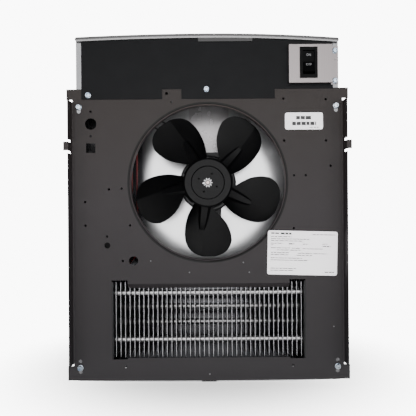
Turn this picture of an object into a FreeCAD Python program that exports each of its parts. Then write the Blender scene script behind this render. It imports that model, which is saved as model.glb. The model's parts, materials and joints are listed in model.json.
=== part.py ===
import FreeCAD, Part
import math
import operator
import os
import Sketcher

# Fan-forced ceiling heater insert, seen from the room with its grille off.
# The origin is the middle of the mounting hole rectangle on the pan's rear face.
# +X is right, +Y goes into the ceiling and +Z is up as the unit stands on a bench.

Vector = FreeCAD.Vector
doc = FreeCAD.newDocument("ceiling_heater")

# Driving dimensions in millimetres, angles in degrees
SIZES = [
    ("pan_gauge", 0.9, "back pan sheet"),
    ("pan_depth", 92.0, "rear face to flange face"),
    ("pan_width", 338.0, "outside of the side walls"),
    ("pan_top", 222.0, "outside of the top wall"),
    ("pan_base", -216.0, "outside of the bottom wall"),
    ("pan_side_flange", 8.5, "side flange width"),
    ("pan_leg", 12.0, "side channel leg on the rear wall"),
    ("pan_base_flange", 19.2, "bottom flange width at its middle"),
    ("pan_base_bow", 2.4, "bow of the bottom flange's edge"),
    ("pan_top_flange", 8.0, "top flange width"),
    ("mount_across", 280.0, "mounting hole spacing along X"),
    ("mount_up", 380.0, "mounting hole spacing along Z"),
    ("mount_hole", 7.0, "mounting hole diameter"),
    ("knockout", 22.2, "half inch conduit knockout diameter"),
    ("knockout_x", -118.0, "knockout place across"),
    ("knockout_back", 46.0, "knockout place from the rear face"),
    ("deck_gauge", 1.0, "fan deck sheet"),
    ("deck_width", 381.0, "across the ears"),
    ("deck_bend_width", 369.0, "across the side flanges"),
    ("deck_top", 161.7, "deck top edge"),
    ("deck_base", -232.0, "deck bottom edge at the ears"),
    ("deck_base_bow", 1.4, "bow of the deck's bottom edge"),
    ("deck_flange", 22.0, "side flange reach towards the room"),
    ("ear_top", 14.2, "height of the top ears"),
    ("ear_base", 19.3, "height of the bottom ears"),
    ("bend_relief", 3.0, "gap between ear and flange"),
    ("flange_bend", 2.0, "inside radius of the side bends"),
    ("latch_height", 83.0, "middle of the latch tabs"),
    ("latch_size", 11.5, "latch tab height"),
    ("latch_relief", 3.5, "slit beside a latch tab"),
    ("latch_slit_depth", 17.0, "slit depth from the flange edge"),
    ("latch_reach", 5.5, "latch tab reach outwards"),
    ("tongue_rise", 10.0, "deck edge behind the wiring cover"),
    ("tongue_left", -150.0, "left end of that edge"),
    ("tongue_right", 86.0, "right end of that edge"),
    ("foot_width", 20.0, "tab under the deck"),
    ("foot_drop", 3.0, "tab drop below the deck"),
    ("fan_height", 34.7, "fan axis above the origin"),
    ("orifice_radius", 104.5, "inside of the orifice collar"),
    ("collar_depth", 12.0, "collar depth behind the deck face"),
    ("collar_roll", 3.5, "rolled edge radius"),
    ("collar_land", 7.5, "flat ring round the collar"),
    ("window_width", 256.8, "element window width"),
    ("window_top", -102.1, "element window top edge"),
    ("window_base", -202.3, "element window bottom edge"),
    ("notch_width", 21.6, "corner relief width"),
    ("notch_outside", 2.7, "corner relief past the window side"),
    ("notch_rise", 5.0, "corner relief above the window"),
    ("notch_drop", 1.7, "corner relief below the window"),
    ("lip_drop", 6.0, "window lip drop"),
    ("lip_depth", 8.0, "window lip reach behind the deck"),
    ("cover_gauge", 1.0, "wiring cover sheet"),
    ("cover_inset", 7.5, "cover side edges inside the pan's side edges"),
    ("cover_bracket_room", 1.0, "room round the switch bracket's foot"),
    ("cover_top_gap", 0.8, "cover top edge under the rail leg"),
    ("cover_base", 147.5, "cover bottom edge"),
    ("cover_step_x", 91.3, "where the bottom edge steps up"),
    ("cover_step_z", 160.4, "bottom edge beyond the step"),
    ("cover_notch_left", -61.0, "notch left side"),
    ("cover_notch_right", -34.7, "notch right side"),
    ("cover_notch_top", 160.9, "notch top"),
    ("rail_width", 355.6, "top rail length"),
    ("rail_height", 5.6, "top rail height"),
    ("rail_leg", 2.2, "height of the leg on the pan flange"),
    ("rail_bow", 4.0, "fall of the rail to its left end"),
    ("rail_droop", 6.9, "fall of the rail to its right end"),
    ("rail_seat", 1.0, "pan flange edge below the rail's top"),
    ("rail_rise", 5.0, "rail's middle above the pan's top flange"),
    ("rail_hem", 3.0, "hem thickness"),
    ("rail_tab_left", -11.8, "rail tab left side"),
    ("rail_tab_right", 61.5, "rail tab right side"),
    ("rail_tab_drop", 4.9, "rail tab below the rail"),
    ("bracket_gauge", 1.2, "switch bracket sheet"),
    ("bracket_foot", 11.5, "bracket foot on the pan's side flange"),
    ("bracket_width", 56.5, "switch plate width"),
    ("bracket_return", 9.2, "depth of the bracket's bent edges"),
    ("bracket_relief", 1.5, "gap between the bent edges and the web"),
    ("bracket_base", 166.5, "switch plate bottom"),
    ("bracket_top", 217.6, "switch plate top"),
    ("bracket_stand", 12.0, "switch plate in front of the pan flange"),
    ("switch_inset", 30.4, "switch middle from the bracket's web"),
    ("switch_z", 193.2, "switch middle up"),
    ("bezel_width", 23.5, "switch bezel width"),
    ("bezel_height", 41.2, "switch bezel height"),
    ("bezel_thick", 2.0, "switch bezel thickness"),
    ("switch_body_width", 20.0, "switch body width"),
    ("switch_body_height", 35.0, "switch body height"),
    ("switch_body_depth", 24.0, "switch body depth"),
    ("rocker_width", 15.4, "rocker width"),
    ("rocker_length", 29.2, "rocker length"),
    ("rocker_tilt", 11.0, "rocker tilt each way"),
    ("rocker_room", 0.3, "room beside the rocker"),
    ("rocker_pocket_height", 32.4, "rocker pocket height"),
    ("rocker_pivot", 7.0, "pivot behind the bezel face"),
    ("pivot_radius", 1.4, "rocker pivot radius"),
    ("pivot_reach", 1.4, "pivot reach into the housing"),
    ("running_fit", 0.05, "radial running clearance"),
    ("spade_width", 6.3, "switch spade width"),
    ("spade_thick", 0.8, "switch spade thickness"),
    ("spade_length", 8.0, "switch spade length"),
    ("spade_pitch", 11.0, "switch spade spacing"),
    ("fan_radius", 101.6, "blade tip radius"),
    ("fan_setback", 4.0, "hub face behind the deck rear face"),
    ("hub_radius", 33.7, "hub ring outside radius"),
    ("hub_dish_radius", 22.0, "recessed disc radius"),
    ("hub_dish_depth", 4.0, "recess depth"),
    ("hub_wall", 2.3, "hub wall"),
    ("hub_skirt", 22.0, "hub skirt length"),
    ("boss_radius", 8.0, "hub boss radius"),
    ("boss_length", 21.0, "hub boss length"),
    ("blade_thick", 1.8, "blade thickness"),
    ("blade_middle", 13.5, "blade middle behind the hub face"),
    ("blade_crease", 9.0, "crease beside the blade's middle line"),
    ("dish_hole_circle", 13.3, "radius to the small holes in the disc"),
    ("dish_hole", 2.6, "small hole diameter"),
    ("shaft_radius", 3.175, "motor shaft radius"),
    ("shaft_past_disc", 3.0, "shaft end in front of the disc"),
    ("nut_radius", 6.4, "push nut radius"),
    ("nut_thick", 0.8, "push nut sheet"),
    ("motor_stand", 14.0, "motor strap off the pan"),
    ("strap_gauge", 1.2, "motor strap sheet"),
    ("strap_width", 40.0, "motor strap width"),
    ("strap_span", 72.0, "motor strap length between its legs"),
    ("strap_foot", 13.0, "motor strap foot length"),
    ("motor_radius", 40.0, "motor shell radius"),
    ("motor_wall", 1.2, "motor shell sheet"),
    ("shell_length", 24.0, "motor shell length"),
    ("bell_length", 16.0, "motor front bell length"),
    ("bearing_radius", 7.5, "bearing outside radius"),
    ("bearing_flange", 10.0, "front bearing flange radius"),
    ("bearing_length", 8.0, "rear bearing length"),
    ("bearing_nose", 3.5, "front bearing in front of the bell"),
    ("core_length", 16.0, "stator core length"),
    ("core_back", 13.0, "stator core off the shell's rear wall"),
    ("core_bore", 20.0, "stator bore radius"),
    ("air_gap", 0.4, "rotor air gap"),
    ("coil_inner", 24.0, "winding inside radius"),
    ("coil_outer", 35.0, "winding outside radius"),
    ("coil_rise", 7.0, "winding beyond the core"),
    ("motor_screw_span", 50.0, "motor screw spacing"),
    ("fin_gauge", 0.5, "fin thickness"),
    ("fin_pitch", 6.35, "fin spacing"),
    ("fin_top", -101.3, "fin top"),
    ("fin_base", -203.6, "fin bottom"),
    ("fin_setback", 12.0, "fin front edge behind the deck face"),
    ("fin_depth", 45.0, "fin depth"),
    ("tube_radius", 4.0, "heating tube radius"),
    ("tube_fit", 0.05, "clearance round a tube"),
    ("tube_front", 11.0, "front tube rows behind the fin edge"),
    ("tube_rows_apart", 24.0, "front to rear tube rows"),
    ("tube_row_a", -116.9, "first tube row, front"),
    ("tube_row_b", -139.7, "second tube row, rear"),
    ("tube_row_c", -161.7, "third tube row, rear"),
    ("tube_row_d", -181.6, "fourth tube row, front"),
    ("end_plate_gap", 2.4, "element bracket past the last fin"),
    ("end_plate_gauge", 0.9, "element bracket sheet"),
    ("end_plate_lap", 13.0, "element bracket flange on the deck"),
    ("end_plate_margin", 2.0, "element bracket beyond the fins"),
    ("tube_past_plate", 1.0, "straight tube beyond the right bracket"),
    ("tube_tail", 10.0, "straight tube beyond the left bracket"),
    ("insulator_radius", 5.0, "element end insulator radius"),
    ("insulator_length", 5.0, "element end insulator length"),
    ("pin_radius", 1.6, "element terminal pin radius"),
    ("pin_length", 7.0, "element terminal pin length"),
    ("jumper_gauge", 1.0, "element jumper strap thickness"),
    ("jumper_width", 7.0, "element jumper strap width"),
    ("limit_x", -136.5, "limit switch middle across"),
    ("limit_z", -49.7, "limit switch middle up"),
    ("delay_x", 124.7, "fan delay switch middle across"),
    ("delay_z", 43.4, "fan delay switch middle up"),
    ("disc_radius", 8.0, "thermal disc radius"),
    ("disc_depth", 10.0, "thermal disc depth"),
    ("disc_plate", 0.8, "thermal disc mounting plate"),
    ("disc_plate_length", 30.0, "mounting plate length"),
    ("disc_plate_width", 15.0, "mounting plate width"),
    ("barrier_height", 152.0, "wiring barrier underside"),
    ("barrier_gauge", 0.9, "wiring barrier sheet"),
    ("barrier_room", 0.3, "room round the barrier"),
    ("barrier_flange", 12.0, "barrier flange on the pan"),
    ("bushing_x", -103.0, "lead bushing across"),
    ("bushing_back", 45.0, "lead bushing from the rear face"),
    ("bushing_radius", 8.0, "lead bushing barrel radius"),
    ("bushing_bore", 6.0, "lead bushing bore radius"),
    ("bushing_lip", 1.6, "lead bushing lip"),
    ("block_x", -40.0, "terminal block middle across"),
    ("block_z", 190.0, "terminal block middle up"),
    ("block_length", 64.0, "terminal block length"),
    ("block_height", 20.0, "terminal block height"),
    ("block_depth", 12.0, "terminal block base depth"),
    ("block_wall", 2.0, "terminal block barrier thickness"),
    ("block_rise", 8.0, "terminal block barrier rise"),
    ("ground_x", 30.0, "ground screw across"),
    ("ground_z", 175.0, "ground screw up"),
    ("ground_boss", 7.6, "ground boss height off the pan"),
    ("ground_boss_radius", 6.0, "ground boss radius"),
    ("screw_shank", 4.1, "sheet metal screw diameter"),
    ("screw_fit", 0.05, "clearance round a screw"),
    ("screw_length", 8.0, "sheet metal screw length"),
    ("screw_washer", 8.2, "screw washer diameter"),
    ("screw_washer_thick", 0.8, "screw washer thickness"),
    ("screw_hex", 7.2, "screw head across corners"),
    ("screw_head", 3.0, "screw head height above the washer"),
    ("deck_screw_inset", 3.5, "deck screws inside the pan's flange edge"),
    ("deck_screw_top", 137.5, "upper deck screws"),
    ("deck_screw_base", -215.1, "lower deck screws"),
    ("deck_slot_width", 5.4, "deck slot width"),
    ("deck_slot_length", 12.0, "deck slot length"),
    ("deck_slot_shift", 2.4, "deck slot middle under the screw"),
    ("pilot_hole", 5.2, "open hole above a lower deck screw"),
    ("pilot_rise", 8.8, "that hole above the screw"),
    ("cover_screw_inset", 9.0, "left cover screw inside the cover's edge"),
    ("cover_screw_a_z", 153.4, "left cover screw up"),
    ("cover_screw_b_x", -1.0, "middle cover screw across"),
    ("cover_screw_b_z", 160.7, "middle cover screw up"),
    ("bracket_screw_inset", 4.5, "switch bracket screws inside the pan's flange edge"),
    ("bracket_screw_top", 211.5, "upper switch bracket screw"),
    ("bracket_screw_base", 171.0, "lower switch bracket screw"),
    ("lead_diameter", 2.6, "insulated lead diameter"),
    ("square_hole", 12.7, "square hole in the deck"),
    ("square_hole_x", -158.0, "square hole across"),
    ("square_hole_z", 82.2, "square hole up"),
]

# Punched holes of the deck: name, place across, place up, diameter
DECK_HOLES = [
    ("stat_bush", -157.8, 114.7, 15.5),
    ("stat_screw_upper", -157.8, 131.4, 3.3),
    ("stat_screw_lower", -157.8, 98.3, 3.3),
    ("plate_upper_left", 103.0, 147.2, 3.3),
    ("plate_upper_right", 160.1, 146.0, 3.3),
    ("plate_lower_left", 103.6, 90.6, 3.3),
    ("plate_lower_right", 160.2, 90.2, 3.3),
    ("right_edge", 166.3, 56.1, 3.3),
    ("delay_left", 116.8, 43.4, 3.3),
    ("delay_right", 132.6, 43.4, 3.3),
    ("right_lower", 115.9, -28.0, 3.3),
    ("left_pair_outer", -133.8, 26.3, 3.3),
    ("left_pair_inner", -116.6, 27.1, 3.3),
    ("left_edge_upper", -166.1, 9.3, 3.3),
    ("left_edge_lower", -165.8, -22.7, 3.3),
    ("left_inner", -105.6, -22.7, 3.3),
    ("limit_screw", -136.8, -37.6, 3.3),
    ("limit_sight", -136.5, -49.7, 8.1),
    ("lead_sight", -101.1, -70.9, 12.6),
    ("lead_clip", -115.7, -70.8, 3.3),
    ("base_left", -112.7, -214.2, 3.6),
    ("base_right", 113.6, -213.8, 3.6),
    ("notch_screw", -55.0, 155.2, 4.0),
    ("notch_spot_left", -48.2, 143.4, 2.6),
]

FIN_COUNT = 41
BLADE_COUNT = 5
PAST = 1.0

# Blade stations: share of the tip radius, width seen from the front, slope before and after the crease
BLADE_STATIONS = [
    (0.25, 36.0, 0.55, 0.80),
    (0.33, 44.5, 0.50, 0.72),
    (0.42, 54.5, 0.455, 0.645),
    (0.54, 62.5, 0.40, 0.575),
    (0.69, 66.0, 0.34, 0.51),
    (0.85, 60.0, 0.30, 0.455),
    (0.94, 45.5, 0.28, 0.42),
    (1.00, 17.0, 0.27, 0.40),
]
ARM_STATIONS = [(0.26, 21.0, 6.0), (0.42, 17.0, 5.2), (0.54, 14.0, 4.0), (0.64, 9.0, 2.0)]
ARM_SHIFT = 0.13


OPERATIONS = {"+": operator.add, "-": operator.sub, "*": operator.mul, "/": operator.truediv}


class Size:
    """A number together with the spreadsheet formula that it comes from."""

    def __init__(self, formula, value):
        self.formula = formula
        self.value = value

    def __add__(self, other):
        return combine(self, "+", other)

    def __radd__(self, other):
        return combine(other, "+", self)

    def __sub__(self, other):
        return combine(self, "-", other)

    def __rsub__(self, other):
        return combine(other, "-", self)

    def __mul__(self, other):
        return combine(self, "*", other)

    def __rmul__(self, other):
        return combine(other, "*", self)

    def __truediv__(self, other):
        return combine(self, "/", other)

    def __neg__(self):
        return combine(0, "-", self)


def as_size(item):
    """The item itself, or a plain number wrapped as a size."""
    if isinstance(item, Size):
        return item
    return Size(f"({float(item)})", float(item))


def combine(left, sign, right):
    """Two sizes joined by an arithmetic sign, formula and value alike."""
    left, right = as_size(left), as_size(right)
    value = OPERATIONS[sign](left.value, right.value)
    return Size(f"({left.formula} {sign} {right.formula})", value)


class Dimensions:
    """The spreadsheet's sizes by name."""


def fill_sheet():
    """Write the driving dimensions to the spreadsheet and give them as sizes."""
    sheet = doc.addObject("Spreadsheet::Sheet", "Sizes")
    rows = list(SIZES)
    for name, across, up, diameter in DECK_HOLES:
        rows.append((f"{name}_x", across, f"deck hole {name} across"))
        rows.append((f"{name}_z", up, f"deck hole {name} up"))
        rows.append((f"{name}_hole", diameter, f"deck hole {name} diameter"))
    dims = Dimensions()
    for row, (alias, value, meaning) in enumerate(rows, start=1):
        sheet.set(f"A{row}", meaning)
        sheet.set(f"B{row}", str(value))
        sheet.setAlias(f"B{row}", alias)
        setattr(dims, alias, Size(f"Sizes.{alias}", float(value)))
    doc.recompute()
    return dims


D = fill_sheet()
NODES = []

# Levels along Y that many pieces share
PAN_FLOOR = -D.pan_gauge
PAN_FRONT = -D.pan_depth
DECK_FRONT = PAN_FRONT - D.deck_gauge
FLANGE_FRONT = DECK_FRONT - D.deck_flange
COVER_FRONT = DECK_FRONT - D.cover_gauge
PLATE_FRONT = PAN_FRONT - D.bracket_stand
BEZEL_FRONT = PLATE_FRONT - D.bezel_thick
HUB_FRONT = PAN_FRONT + D.fan_setback
DISC_FRONT = HUB_FRONT + D.hub_dish_depth
STRAP_REAR = PAN_FLOOR - D.motor_stand
SHELL_REAR = STRAP_REAR - D.strap_gauge
BELL_REAR = SHELL_REAR - D.shell_length
BELL_FRONT = BELL_REAR - D.bell_length
CORE_REAR = SHELL_REAR - D.core_back
CORE_FRONT = CORE_REAR - D.core_length
FIN_FRONT = DECK_FRONT + D.fin_setback
TUBE_FRONT = FIN_FRONT + D.tube_front
TUBE_REAR = TUBE_FRONT + D.tube_rows_apart
END_PLATE = D.fin_pitch * ((FIN_COUNT - 1) / 2) + D.end_plate_gap
TUBE_END = -END_PLATE - D.end_plate_gauge - D.tube_tail
INSULATOR_END = TUBE_END - D.insulator_length
PIN_END = INSULATOR_END - D.pin_length
SCREW_HOLE = D.screw_shank / 2 + D.screw_fit
PAN_EDGE = D.pan_width / 2 + D.pan_side_flange
PAN_CREST = D.pan_top + D.pan_top_flange
RAIL_CROWN = PAN_CREST + D.rail_rise
COVER_SEAT = D.rail_leg + D.cover_top_gap
DECK_SCREW_X = PAN_EDGE - D.deck_screw_inset
BRACKET_SCREW_X = PAN_EDGE - D.bracket_screw_inset
COVER_EDGE = PAN_EDGE - D.cover_inset
COVER_SCREW_X = D.cover_screw_inset - COVER_EDGE
BRACKET_WEB = PAN_EDGE - D.bracket_foot
BRACKET_LEFT = BRACKET_WEB - D.bracket_width
SWITCH_X = BRACKET_WEB - D.switch_inset

TURNS = {
    "x": FreeCAD.Rotation(Vector(0, 1, 0), 90),
    "y": FreeCAD.Rotation(Vector(1, 0, 0), -90),
    "z": FreeCAD.Rotation(),
    "-y": FreeCAD.Rotation(Vector(1, 0, 0), 90),
}


def bind(item, prop, amount):
    """Bind one property to the formula of a size."""
    item.setExpression(prop, as_size(amount).formula)


def place(item, across, back, up):
    """Bind an object's place."""
    for axis, amount in zip("xyz", (across, back, up)):
        bind(item, f"Placement.Base.{axis}", amount)


def box(name, across, back, up):
    """Block between two sizes along each axis."""
    block = doc.addObject("Part::Box", name)
    for prop, (low, high) in zip(("Length", "Width", "Height"), (across, back, up)):
        bind(block, prop, high - as_size(low))
    place(block, across[0], back[0], up[0])
    return block


def rod(name, axis, start, radius, length):
    """Round bar from a start point along an axis."""
    bar = doc.addObject("Part::Cylinder", name)
    bar.Placement = FreeCAD.Placement(Vector(), TURNS[axis])
    bind(bar, "Radius", radius)
    bind(bar, "Height", length)
    place(bar, *start)
    return bar


def bore(name, across, up, radius, front, rear):
    """Round cutting tool along Y that runs past both faces."""
    return rod(name, "y", (across, front - PAST, up), radius, rear - front + 2 * PAST)


def fuse(name, pieces):
    """Union of several pieces with merged faces."""
    union = doc.addObject("Part::MultiFuse", name)
    union.Shapes = pieces
    union.Refine = True
    return union


def group(name, pieces):
    """Several separate solids under one name."""
    bundle = doc.addObject("Part::Compound", name)
    bundle.Links = pieces
    return bundle


def cut(name, base, tools):
    """One piece less the cutting tools."""
    result = doc.addObject("Part::Cut", name)
    result.Base = base
    result.Tool = tools[0] if len(tools) == 1 else group(f"{name}_tools", tools)
    result.Refine = True
    return result


def common(name, base, tool):
    """What two pieces share."""
    result = doc.addObject("Part::Common", name)
    result.Base = base
    result.Tool = tool
    return result


def bow_radius(half, rise):
    """Radius of an arc from half its chord and its rise."""
    return half * half / (2 * rise) + rise / 2


def finish(piece):
    """Keep a finished sub-part for export."""
    NODES.append(piece)
    return piece


def origin_feature(body, role):
    """One of a body's own planes or axes."""
    return next(item for item in body.Origin.OriginFeatures if item.Role == role)


def outline(body, name, role, corners):
    """Closed straight-sided sketch on one of the body's own planes."""
    sketch = body.newObject("Sketcher::SketchObject", name)
    sketch.AttachmentSupport = [(origin_feature(body, role), "")]
    sketch.MapMode = "FlatFace"
    corners = [(as_size(u), as_size(v)) for u, v in corners]
    points = [Vector(u.value, v.value, 0) for u, v in corners]
    for start, end in zip(points, points[1:] + points[:1]):
        sketch.addGeometry(Part.LineSegment(start, end), False)
    for index in range(len(points)):
        following = (index + 1) % len(points)
        sketch.addConstraint(Sketcher.Constraint("Coincident", index, 2, following, 1))
    for index, corner in enumerate(corners):
        for kind, amount in zip(("DistanceX", "DistanceY"), corner):
            number = sketch.addConstraint(Sketcher.Constraint(kind, -1, 1, index, 1, amount.value))
            sketch.setExpression(f"Constraints[{number}]", amount.formula)
    return sketch


def revolved(name, corners, up=0.0):
    """Body of revolution about a line along Y, from corners of radius and place along Y."""
    body = doc.addObject("PartDesign::Body", name)
    sketch = outline(body, f"{name}_profile", "XY_Plane", corners)
    turn = body.newObject("PartDesign::Revolution", f"{name}_turn")
    turn.Profile = sketch
    turn.ReferenceAxis = (sketch, ["V_Axis"])
    turn.Angle = 360
    bind(body, "Placement.Base.z", up)
    return body


def padded(name, role, corners, low, high):
    """Body with one outline padded between two sizes along the plane's normal axis."""
    body = doc.addObject("PartDesign::Body", name)
    sketch = outline(body, f"{name}_profile", role, corners)
    pad = body.newObject("PartDesign::Pad", f"{name}_pad")
    pad.Profile = sketch
    bind(pad, "Length", high - as_size(low))
    axis = {"XY_Plane": "z", "YZ_Plane": "x"}[role]
    bind(body, f"Placement.Base.{axis}", low)
    return body


def slot(name, across, up, width, length, front, rear):
    """Cutting tool for an upright slot with round ends."""
    reach = (length - width) / 2
    middle = box(f"{name}_middle", (across - width / 2, across + width / 2), (front - PAST, rear + PAST),
                 (up - reach, up + reach))
    ends = [bore(f"{name}_end_{side}", across, up + side_sign * reach, width / 2, front, rear)
            for side, side_sign in (("low", -1), ("high", 1))]
    return fuse(name, [middle] + ends)


def screw(name, across, up, seat):
    """Hex washer head screw driven along +Y, with its washer on the seat."""
    washer = rod(f"{name}_washer", "-y", (across, seat, up), D.screw_washer / 2, D.screw_washer_thick)
    head = doc.addObject("Part::Prism", f"{name}_head")
    head.Polygon = 6
    head.Placement = FreeCAD.Placement(Vector(), TURNS["-y"])
    bind(head, "Circumradius", D.screw_hex / 2)
    bind(head, "Height", D.screw_washer_thick + D.screw_head)
    place(head, across, seat, up)
    shank = rod(f"{name}_shank", "y", (across, seat - D.screw_washer_thick / 2, up), D.screw_shank / 2,
                D.screw_length + D.screw_washer_thick / 2)
    return fuse(name, [washer, head, shank])


def both_sides(amount):
    """The same size on the left and on the right, with a word for each."""
    return (("left", -amount), ("right", as_size(amount)))


DECK_SCREWS = [(f"{level}_{side}", across, up)
               for level, up in (("top", D.deck_screw_top), ("base", D.deck_screw_base))
               for side, across in both_sides(DECK_SCREW_X)]
COVER_SCREWS = [("a", COVER_SCREW_X, D.cover_screw_a_z), ("b", D.cover_screw_b_x, D.cover_screw_b_z)]
BRACKET_SCREWS = [("top", BRACKET_SCREW_X, D.bracket_screw_top),
                  ("base", BRACKET_SCREW_X, D.bracket_screw_base)]


def screw_holes(name, screws, front, rear):
    """Cutting tools for a set of screws through one sheet."""
    return [bore(f"{name}_{label}", across, up, SCREW_HOLE, front, rear) for label, across, up in screws]


def span(sign, near, far):
    """Two sizes in rising order, on the side that the sign says."""
    return sorted((sign * as_size(near), sign * as_size(far)), key=lambda amount: amount.value)


def below_rail(name, inset, front, rear):
    """Room below the rail's top line, set down by an inset; the line falls further to the right."""
    halves = []
    for side, sign, fall in (("left", -1, D.rail_bow), ("right", 1, D.rail_droop)):
        radius = bow_radius(D.rail_width / 2, fall)
        disc = rod(f"{name}_disc_{side}", "y", (0, front, RAIL_CROWN - radius), radius - inset, rear - front)
        room = box(f"{name}_room_{side}", span(sign, 0, D.rail_width), (front, rear), (2 * D.pan_base, RAIL_CROWN))
        halves.append(common(f"{name}_{side}", disc, room))
    return fuse(name, halves)


def bowed_flange(name, across):
    """Front flange of the pan between two sizes along X, bowed at the bottom and under the rail."""
    low, gauge = D.pan_base - D.pan_base_flange, D.pan_gauge
    radius = bow_radius(PAN_EDGE, D.pan_base_bow)
    sheet = box(f"{name}_sheet", across, (PAN_FRONT, PAN_FRONT + gauge), (low, RAIL_CROWN))
    round_edge = rod(f"{name}_bow", "y", (0, PAN_FRONT - PAST, low + radius), radius, gauge + 2 * PAST)
    return common(name, common(f"{name}_bowed", sheet, round_edge),
                  below_rail(f"{name}_crest", D.rail_seat, PAN_FRONT - PAST, PAN_FRONT + gauge + PAST))


def make_back_pan():
    """Galvanised wrapper of the pan: rear, top and bottom walls with flanges at the front."""
    gauge = D.pan_gauge
    inner = D.pan_width / 2 - gauge
    outside = box("pan_outside", (-inner, inner), (PAN_FRONT, 0), (D.pan_base, D.pan_top))
    boss = rod("ground_boss_post", "-y", (D.ground_x, PAN_FLOOR + gauge / 2, D.ground_z), D.ground_boss_radius,
               D.ground_boss + gauge / 2)
    tools = [box("pan_inside", (-inner - PAST, inner + PAST), (PAN_FRONT - PAST, PAN_FLOOR),
                 (D.pan_base + gauge, D.pan_top - gauge))]
    for side, across in both_sides(D.mount_across / 2):
        for level, up in (("low", -D.mount_up / 2), ("high", D.mount_up / 2)):
            tools.append(bore(f"mount_{level}_{side}", across, up, D.mount_hole / 2, PAN_FLOOR, 0))
    tools.append(rod("pan_knockout", "z", (D.knockout_x, -D.knockout_back, D.pan_top - gauge - PAST),
                     D.knockout / 2, gauge + 2 * PAST))
    shell = cut("pan_shell", fuse("pan_blank", [outside, bowed_flange("pan_flanges", (-inner, inner))]), tools)
    ground_hole = bore("ground_hole", D.ground_x, D.ground_z, SCREW_HOLE, PAN_FLOOR - D.ground_boss, 0)
    finish(cut("back_pan", fuse("pan_with_boss", [shell, boss]), [ground_hole]))


def make_pan_sides():
    """Flanged channels that close the pan's sides, each with a leg on the rear wall."""
    gauge, half = D.pan_gauge, D.pan_width / 2
    inner = half - gauge
    for side, sign in (("left", -1), ("right", 1)):
        channel = fuse(f"side_sheet_{side}", [
            box(f"side_wall_{side}", span(sign, inner, half), (PAN_FRONT, 0), (D.pan_base, D.pan_top)),
            bowed_flange(f"side_flange_{side}", span(sign, inner, PAN_EDGE)),
            box(f"side_leg_{side}", span(sign, inner - D.pan_leg, half), (PAN_FLOOR - gauge, PAN_FLOOR),
                (D.pan_base + gauge, D.pan_top - gauge))])
        screws = [item for item in DECK_SCREWS if item[0].endswith(side)]
        if side == "right":
            screws += [(f"bracket_{label}", across, up) for label, across, up in BRACKET_SCREWS]
        finish(cut(f"pan_side_{side}", channel,
                   screw_holes(f"side_hole_{side}", screws, PAN_FRONT, PAN_FRONT + gauge)))


def make_top_rail():
    """Bowed and hemmed rail on the pan's top flange, with round ends and a short tab."""
    half = D.rail_width / 2
    round_end = D.rail_height / 2
    last = half - round_end
    hem_front = COVER_FRONT - D.rail_hem
    clear = COVER_FRONT - D.tube_fit

    def strip(name, height, front, rear):
        band = cut(f"{name}_band", below_rail(f"{name}_outer", 0, front, rear),
                   [below_rail(f"{name}_inner", height, front - PAST, rear + PAST)])
        reach = box(f"{name}_reach", (-last, last), (front, rear), (D.pan_base, RAIL_CROWN))
        return common(name, band, reach)

    hem = strip("rail_hem_arc", D.rail_height, hem_front, clear)
    leg = strip("rail_leg_arc", D.rail_leg, clear, PAN_FRONT)
    ends = []
    for side, sign, fall in (("left", -1, D.rail_bow), ("right", 1, D.rail_droop)):
        up = RAIL_CROWN - fall * last * last / (half * half) - round_end
        ends.append(rod(f"rail_end_{side}", "y", (sign * last, hem_front, up), round_end, clear - hem_front))
    tab = box("rail_tab", (D.rail_tab_left, D.rail_tab_right), (hem_front + 1, clear),
              (RAIL_CROWN - D.rail_height - D.rail_tab_drop, RAIL_CROWN - D.rail_height / 2))
    finish(fuse("top_rail", [hem, leg, tab] + ends))


def make_collar():
    """Flat ring and axial collar of the fan orifice with a rolled edge."""
    inner, gauge = D.orifice_radius, D.deck_gauge
    outer = inner + D.collar_land
    rear = DECK_FRONT + D.collar_depth
    collar = revolved("orifice_collar", [
        (inner, DECK_FRONT), (outer, DECK_FRONT), (outer, PAN_FRONT), (inner + gauge, PAN_FRONT),
        (inner + gauge, rear), (inner, rear)], D.fan_height)
    doc.recompute()
    turn = collar.Tip
    rolls = (("front", D.orifice_radius, DECK_FRONT, D.collar_roll),
             ("rear", inner + gauge, PAN_FRONT, D.collar_roll - gauge))
    for label, radius, level, roll in rolls:
        names = [f"Edge{number}" for number, edge in enumerate(collar.Tip.Shape.Edges, start=1)
                 if hasattr(edge.Curve, "Radius") and abs(edge.Curve.Radius - as_size(radius).value) < 1e-4
                 and abs(edge.Curve.Center.y - level.value) < 1e-4]
        rounding = collar.newObject("PartDesign::Fillet", f"collar_roll_{label}")
        rounding.Base = (turn, names)
        bind(rounding, "Radius", roll)
        doc.recompute()
        turn = rounding
    return collar


def side_bend(side, sign, bend, low, high):
    """Rounded bend between the deck and a side flange: what fills its inside and what trims its outside."""
    inside, outside = D.flange_bend, D.flange_bend + D.deck_gauge
    middle_x, middle_y = bend - outside, DECK_FRONT - inside

    def post(name, radius):
        return rod(name, "z", (sign * middle_x, middle_y, low - PAST), radius, high - low + 2 * PAST)

    filler = cut(f"bend_filler_{side}", box(f"bend_inside_{side}", span(sign, middle_x, bend - D.deck_gauge),
                 (middle_y, DECK_FRONT), (low, high)), [post(f"bend_inner_{side}", inside)])
    trim = cut(f"bend_trim_{side}", box(f"bend_outside_{side}", span(sign, middle_x, bend + PAST),
               (middle_y, PAN_FRONT + PAST), (low, high)), [post(f"bend_outer_{side}", outside)])
    return filler, trim


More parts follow.
